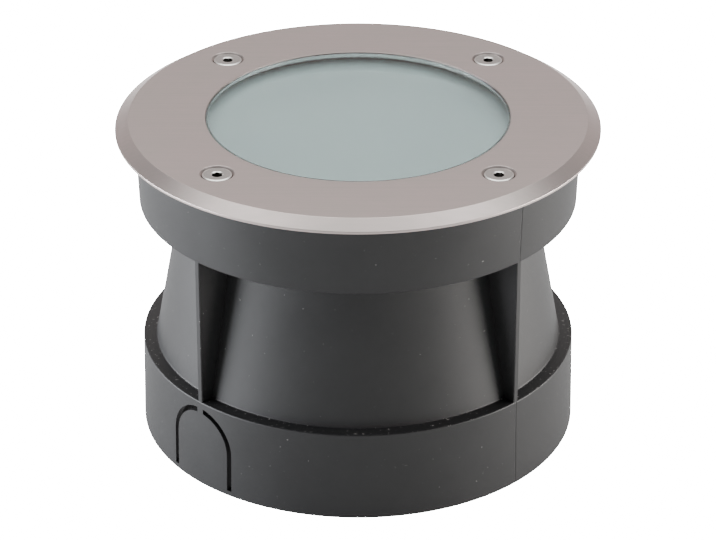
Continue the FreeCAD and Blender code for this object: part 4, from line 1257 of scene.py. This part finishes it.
@dataclass(frozen=True)
class MountingSleeve:
    """The moulded sleeve: collar, shoulder, cone, webs and skirt. Sizes in millimetres.

    Attributes:
        wall: The wall's thickness.
        skirt_foot: The skirt's outer radius at its foot.
        skirt_top: The skirt's outer radius at the ledge.
        ledge: The ledge's height.
        cone_foot: The cone's radius at the ledge.
        cone_top: The cone's radius under the collar.
        collar_foot: The collar's outer radius at its foot.
        collar_rim: The collar's outer radius at its rim.
        collar_low: The height of the collar's foot.
        collar_high: The height of the collar's rim.
        shoulder_bore: The radius inside the shoulder.
        edge: The radius of the arcs on its outer edges.
        inner_arcs: The radii of the arcs inside, from the collar's rim down to the foot.
        cone_arcs: The radii of the arcs at the cone's foot and top.
        web: A web's thickness.
        web_setback: How far a web's edge lies inside the bands.
        web_bite: How far a web runs into what it joins.
        web_edge: The width of the bevel on a web's edges.
        web_rows: The rows of points up a web.
        seam_depth: The depth of the line where the mould's halves met.
        seam_width: That line's width.
        seam_turns: The azimuths of the line, in degrees.
        seam_reach: How far to either side of it the facets are closer, in degrees.
        seam_facets: How many close facets each has.
        band_start: How far inside the radius of the collar's foot the line starts.
        band_fade: The distance over which it comes to its full depth.
        facets: The other facets once round.
        knock_out: The arched slot.
    """

    wall: float = 2.8
    skirt_foot: float = 92.0
    skirt_top: float = 91.2
    ledge: float = 38.7
    cone_foot: float = 85.5
    cone_top: float = 73.5
    collar_foot: float = 91.0
    collar_rim: float = 92.0
    collar_low: float = 102.9
    collar_high: float = 133.4
    shoulder_bore: float = 70.7
    edge: float = 0.5
    inner_arcs: tuple[float, ...] = (0.2, 0.4, 0.3, 0.3, 0.4, 0.4, 0.2)
    cone_arcs: tuple[float, float] = (0.5, 0.6)
    web: float = 2.4
    web_setback: float = 0.1
    web_bite: float = 1.2
    web_edge: float = 0.25
    web_rows: int = 9
    seam_depth: float = 0.16
    seam_width: float = 0.42
    seam_turns: tuple[float, ...] = (-45.0, 135.0)
    seam_reach: float = 0.6
    seam_facets: int = 12
    band_start: float = 0.9
    band_fade: float = 0.6
    facets: int = 240
    knock_out: KnockOut = KnockOut()

    def turns(self) -> np.ndarray:
        """Spaces the facets evenly, and closer on either side of each seam.

        Returns:
            Azimuths in radians once round.
        """
        near = np.radians(np.linspace(-self.seam_reach, self.seam_reach, self.seam_facets + 1))
        close = [math.radians(seam) + near for seam in self.seam_turns]
        return np.unique(np.round(np.concatenate([even_turns(self.facets), *close]) % (2 * math.pi), 7))

    def seam(self, turns: np.ndarray) -> np.ndarray:
        """Works out the groove: depth times exp(-(distance / half the width) squared) about each seam.

        Args:
            turns: The azimuths in radians.

        Returns:
            The groove's depth at each, in metres.
        """
        middles = np.radians(np.array(self.seam_turns))
        away = (turns[:, None] - middles + math.pi) % (2 * math.pi) - math.pi
        bells = np.exp(-((away * self.collar_rim / (self.seam_width / 2)) ** 2))
        return self.seam_depth * MM * bells.sum(axis=1)

    def shell(self) -> Surface:
        """Turns the shell: P(u, v) as a lathe, less the seam's depth on the two outer bands.

        Returns:
            The shell, closed.
        """
        wall, edge = self.wall, self.edge
        inside = (
            (self.collar_rim - wall, self.collar_high),
            (self.collar_foot - wall, self.collar_low + wall),
            (self.shoulder_bore, self.collar_low + wall),
            (self.shoulder_bore, self.collar_low),
            (self.cone_foot - wall, self.ledge - wall),
            (self.skirt_top - wall, self.ledge - wall),
            (self.skirt_foot - wall, 0.0),
        )
        cone_foot_arc, cone_top_arc = self.cone_arcs
        profile = rounded([
            (self.collar_rim, self.collar_high, edge),
            *((*corner, arc) for corner, arc in zip(inside, self.inner_arcs)),
            (self.skirt_foot, 0.0, edge),
            (self.skirt_top, self.ledge, edge),
            (self.cone_foot, self.ledge, cone_foot_arc),
            (self.cone_top, self.collar_low, cone_top_arc),
            (self.collar_foot, self.collar_low, edge),
        ])
        turns = self.turns()
        surface = lathe(profile, turns)
        radii = np.tile(profile[:, 0], len(turns))
        outside = np.clip((radii / MM - self.collar_foot + self.band_start) / self.band_fade, 0.0, 1.0)
        groove = np.repeat(self.seam(turns), len(profile)) * outside
        scale = 1 - groove / radii
        return Surface(surface.points * np.stack([scale, scale, np.ones(len(scale))], axis=-1), surface.faces)

    def web_surface(self) -> Surface:
        """Carries a web's section up from the ledge to the collar, on the azimuth 0.

        The section runs from the cone to the bands' line, and its two outer corners are bevelled.

        Returns:
            The web, closed.
        """
        bite, soft = self.web_bite, self.web_edge
        low, high = self.ledge - bite, self.collar_low + bite
        outer_low, outer_high = self.skirt_top - self.web_setback, self.collar_foot - self.web_setback
        heights = np.linspace(low, high, self.web_rows)
        share = (heights - low) / (high - low)
        outer = outer_low + (outer_high - outer_low) * share
        inner = self.cone_foot - bite + (self.cone_top - self.cone_foot) * share
        half = self.web / 2
        across = np.array((-half, -half, -half + soft, half - soft, half, half))
        reach = np.array((0.0, 1.0, 1.0, 1.0, 1.0, 0.0))
        draw_in = np.array((0.0, soft, 0.0, 0.0, soft, 0.0))
        radius = inner[:, None] * (1 - reach) + (outer[:, None] - draw_in) * reach
        points = np.stack(np.broadcast_arrays(radius, across[None], heights[:, None]), axis=-1) * MM
        tube = grid(points, wrap_columns=True)
        last = len(tube.points) - 6
        caps = np.array([[0, 1, 4, 5], [1, 2, 3, 4], [last, last + 1, last + 4, last + 5],
                         [last + 1, last + 2, last + 3, last + 4]])
        return Surface(tube.points, np.concatenate([tube.faces, caps]))

    @staticmethod
    def apply(piece: bpy.types.Object, other: Surface, change: Change) -> None:
        """Joins a solid to a piece or cuts it away, and keeps the result as the piece's own mesh.

        Args:
            piece: The piece to change.
            other: The solid to join or to cut with.
            change: Which of the two.
        """
        tool = build("tool", other, piece.data.materials[0])
        modifier = piece.modifiers.new("change", "BOOLEAN")
        modifier.object, modifier.operation, modifier.solver = tool, change.value, "EXACT"
        graph = bpy.context.evaluated_depsgraph_get()
        changed = bpy.data.meshes.new_from_object(piece.evaluated_get(graph))
        piece.modifiers.clear()
        piece.data = changed
        bpy.data.objects.remove(tool)

    def dress(self, effects: SurfaceEffects) -> None:
        """Builds the moulding: the shell, its four webs and the arched knock-out.

        Args:
            effects: The shared node groups.
        """
        sleeve = build("moulded_sleeve", self.shell(), BLACK_POLYMER.material(effects))
        for quarter in range(QUARTERS):
            self.apply(sleeve, self.web_surface().turned(quarter_azimuth(quarter)), Change.JOIN)
        for side in (1.0, -1.0):
            self.apply(sleeve, self.knock_out.half(side).turned(KNOCK_OUT_TURN), Change.CUT)
        sleeve.data.shade_smooth()
        sleeve.data.set_sharp_from_angle(angle=SHARP_ANGLE)
        settle(sleeve, Body.SLEEVE, "mounting_sleeve")


# ---- Luminaire --------------------------------------------------------------------------------------
@dataclass(frozen=True)
class Luminaire:
    """The housing and all that it holds: solids of the frame that keep their mesh and get a finish.

    Attributes:
        finishes: Each finish with the solids that it goes on.
    """

    finishes: tuple[tuple[Finish, tuple[str, ...]], ...] = (
        (CAST_BODY, ("housing",)),
        (ROLLED_PLATE, ("led_carrier",)),
        (ZINC_STEEL, ("carrier_screws", "board_screws", "driver_screws", "terminal_screws", "earth_lug",
                      "earth_screw")),
        (BOARD_MASK, ("led_board",)),
        (PHOSPHOR, ("led_chips",)),
        (WHITE_REFLECTOR, ("reflector",)),
        (DRIVER_CASE, ("led_driver",)),
        (TERMINAL_CASE, ("terminal_block",)),
        (MAINS_INSULATION, ("mains_leads",)),
        (EARTH_INSULATION, ("earth_lead",)),
        (LEAD_INSULATION, ("led_leads",)),
        (BLACK_RUBBER, ("gland_washer", "gland_seal")),
        (NICKEL_BRASS, ("gland_body", "gland_lock_nut", "gland_nut")),
        (GREY_SILICONE, ("glass_gasket",)),
    )

    def dress(self, effects: SurfaceEffects) -> None:
        """Makes each finish once, and gives it to its solids.

        Args:
            effects: The shared node groups.
        """
        for finish, names in self.finishes:
            material = finish.material(effects)
            for name in names:
                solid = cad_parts[name]
                if not solid.material_slots:
                    solid.data.materials.append(material)
                for slot in solid.material_slots:
                    slot.material = material
                log.info("%s: finished as %s", name, finish.name)


# ---- Studio -----------------------------------------------------------------------------------------
def hang(name: str, data: bpy.types.ID, place: Point, aim: Point) -> bpy.types.Object:
    """Puts a camera or a lamp at a place, and turns it to a point.

    Args:
        name: The object's name.
        data: The camera or the lamp.
        place: Its place in metres.
        aim: The point that it faces.

    Returns:
        The new object.
    """
    item = bpy.data.objects.new(name, data)
    item.location = place
    item.rotation_euler = (Vector(aim) - Vector(place)).to_track_quat("-Z", "Y").to_euler()
    bpy.context.scene.collection.objects.link(item)
    return item


@dataclass(frozen=True)
class SoftBox:
    """A soft lamp that faces the light's middle.

    Attributes:
        name: The lamp's name.
        place: Its middle in metres.
        size: Its width and height in metres.
        power: Its power in watts.
        colour: Its colour.
    """

    name: str
    place: Point
    size: Pair
    power: float
    colour: Colour


@dataclass(frozen=True)
class Studio:
    """The floor, the lamps and the camera.

    Attributes:
        focal_pixels: The photo's focal length in its own pixels.
        frame_width: The photo's width in pixels.
        sensor: The sensor's width in millimetres.
        clip: The nearest and farthest distance that the camera sees, in metres.
        camera_place: The camera's place in metres.
        aim: The point that the middle of the picture looks at.
        floor_half: Half the floor's width in metres.
        floor_points: The floor's points along each side.
        floor_drop: How far it lies under the light's foot, in metres.
        floor_colour: Its colour.
        floor_roughness: Its roughness.
        floor_glow: What lifts the floor that the camera sees to the photo's white.
        floor_mirrored: What lifts the floor that glossy faces mirror, in front of the light.
        floor_sweeps: From and to which distance behind it rises, and by how much.
        footprint: The radius in metres inside which the sleeve keeps the floor dark.
        sky: The colour of the light from all round.
        sky_strength: Its strength.
        lamp_aim: The point that every lamp faces.
        lamps: The soft lamps.
    """

    focal_pixels: float = 3010.0
    frame_width: float = 716.0
    sensor: float = 36.0
    clip: Pair = (0.05, 50.0)
    camera_place: Point = (0.0, -1.1245, 0.6613)
    aim: Point = (0.0, 0.0, 0.0654)
    floor_half: float = 6.0
    floor_points: int = 5
    floor_drop: float = 0.0003
    floor_colour: Colour = (0.6, 0.6, 0.6)
    floor_roughness: float = 0.8
    floor_glow: float = 30.0
    floor_mirrored: float = 0.29
    floor_sweeps: tuple[tuple[float, float, float], ...] = ((-0.1, 0.03, 0.2), (0.2, 0.6, 1.4))
    footprint: float = 0.0905
    sky: Colour = (0.93, 0.97, 1.0)
    sky_strength: float = 0.12
    lamp_aim: Point = (0.0, 0.0, 0.08)
    lamps: tuple[SoftBox, ...] = (
        SoftBox("left_box", (-1.4, -0.1, 0.2), (1.2, 0.36), 51.0, (0.94, 0.96, 1.0)),
        SoftBox("right_box", (1.4, -0.1, 0.2), (1.2, 0.36), 41.0, (1.0, 0.965, 0.93)),
        SoftBox("top_box", (0.0, 0.35, 1.9), (2.6, 0.9), 24.0, (0.98, 1.0, 0.985)),
        SoftBox("high_back_box", (0.0, 1.0, 1.75), (1.6, 0.5), 10.5, (0.96, 1.0, 0.99)),
        SoftBox("back_wall", (0.0, 2.2, 1.0), (4.0, 2.0), 14.4, (1.0, 0.875, 0.845)),
        SoftBox("front_wall", (0.0, -2.4, 1.1), (3.6, 1.6), 4.0, (1.0, 0.94, 0.92)),
    )

    def set_camera(self) -> None:
        """Places the camera of the photo: its lens is the sensor times focal length over width."""
        data = bpy.data.cameras.new("photo_camera")
        data.sensor_width = self.sensor
        data.lens = self.sensor * self.focal_pixels / self.frame_width
        data.clip_start, data.clip_end = self.clip
        bpy.context.scene.camera = hang("photo_camera", data, self.camera_place, self.aim)

    def lay_floor(self) -> None:
        """A plain pale floor: what the camera sees of it is lifted to the photo's white."""
        span = np.linspace(-self.floor_half, self.floor_half, self.floor_points)
        across, along = np.meshgrid(span, span, indexing="ij")
        points = np.stack([across, along, np.full(across.shape, -self.floor_drop)], axis=-1)
        material, graph, shader = new_material("pale_floor")
        place = graph.place()
        away = graph.add("ShaderNodeVectorMath", {0: place}, operation="LENGTH").outputs["Value"]
        open_air = graph.math("GREATER_THAN", away, self.footprint)
        behind = graph.axis(place, "Y")
        lift: Value = self.floor_mirrored
        for start, end, rise in self.floor_sweeps:
            lift = graph.math("ADD", graph.ramp(behind, (start, end), (0.0, rise)), lift)
        rays = graph.add("ShaderNodeLightPath").outputs
        glow = graph.math("MULTIPLY", open_air, self.floor_glow)
        seen = graph.math("MULTIPLY", rays["Is Camera Ray"], glow)
        mirrored = graph.math("MULTIPLY", rays["Is Glossy Ray"], lift)
        graph.feed(shader, {
            "Base Color": (*self.floor_colour, 1.0),
            "Roughness": self.floor_roughness,
            "Specular IOR Level": 0.0,
            "Emission Color": (1.0, 1.0, 1.0, 1.0),
            "Emission Strength": graph.math("ADD", seen, mirrored),
        })
        floor = build("floor", grid(points), material)

    def hang_lamps(self) -> None:
        """Makes each soft lamp and the even light from all round."""
        for lamp in self.lamps:
            data = bpy.data.lights.new(lamp.name, "AREA")
            data.shape = "RECTANGLE"
            data.size, data.size_y = lamp.size
            data.energy, data.color = lamp.power, lamp.colour
            hang(lamp.name, data, lamp.place, self.lamp_aim)
        world = bpy.data.worlds.new("studio_air")
        world.use_nodes = True
        background = world.node_tree.nodes["Background"]
        background.inputs["Color"].default_value = (*self.sky, 1.0)
        background.inputs["Strength"].default_value = self.sky_strength
        bpy.context.scene.world = world


def main() -> None:
    """Sets the studio, then dresses the sleeve, the luminaire and the cover."""
    logging.basicConfig(level=logging.INFO, format="%(name)s: %(message)s")
    studio = Studio()
    studio.set_camera()
    studio.lay_floor()
    studio.hang_lamps()
    effects = SurfaceEffects()
    MountingSleeve().dress(effects)
    Luminaire().dress(effects)
    Cover().dress(effects)


if __name__ == "__main__":
    main()
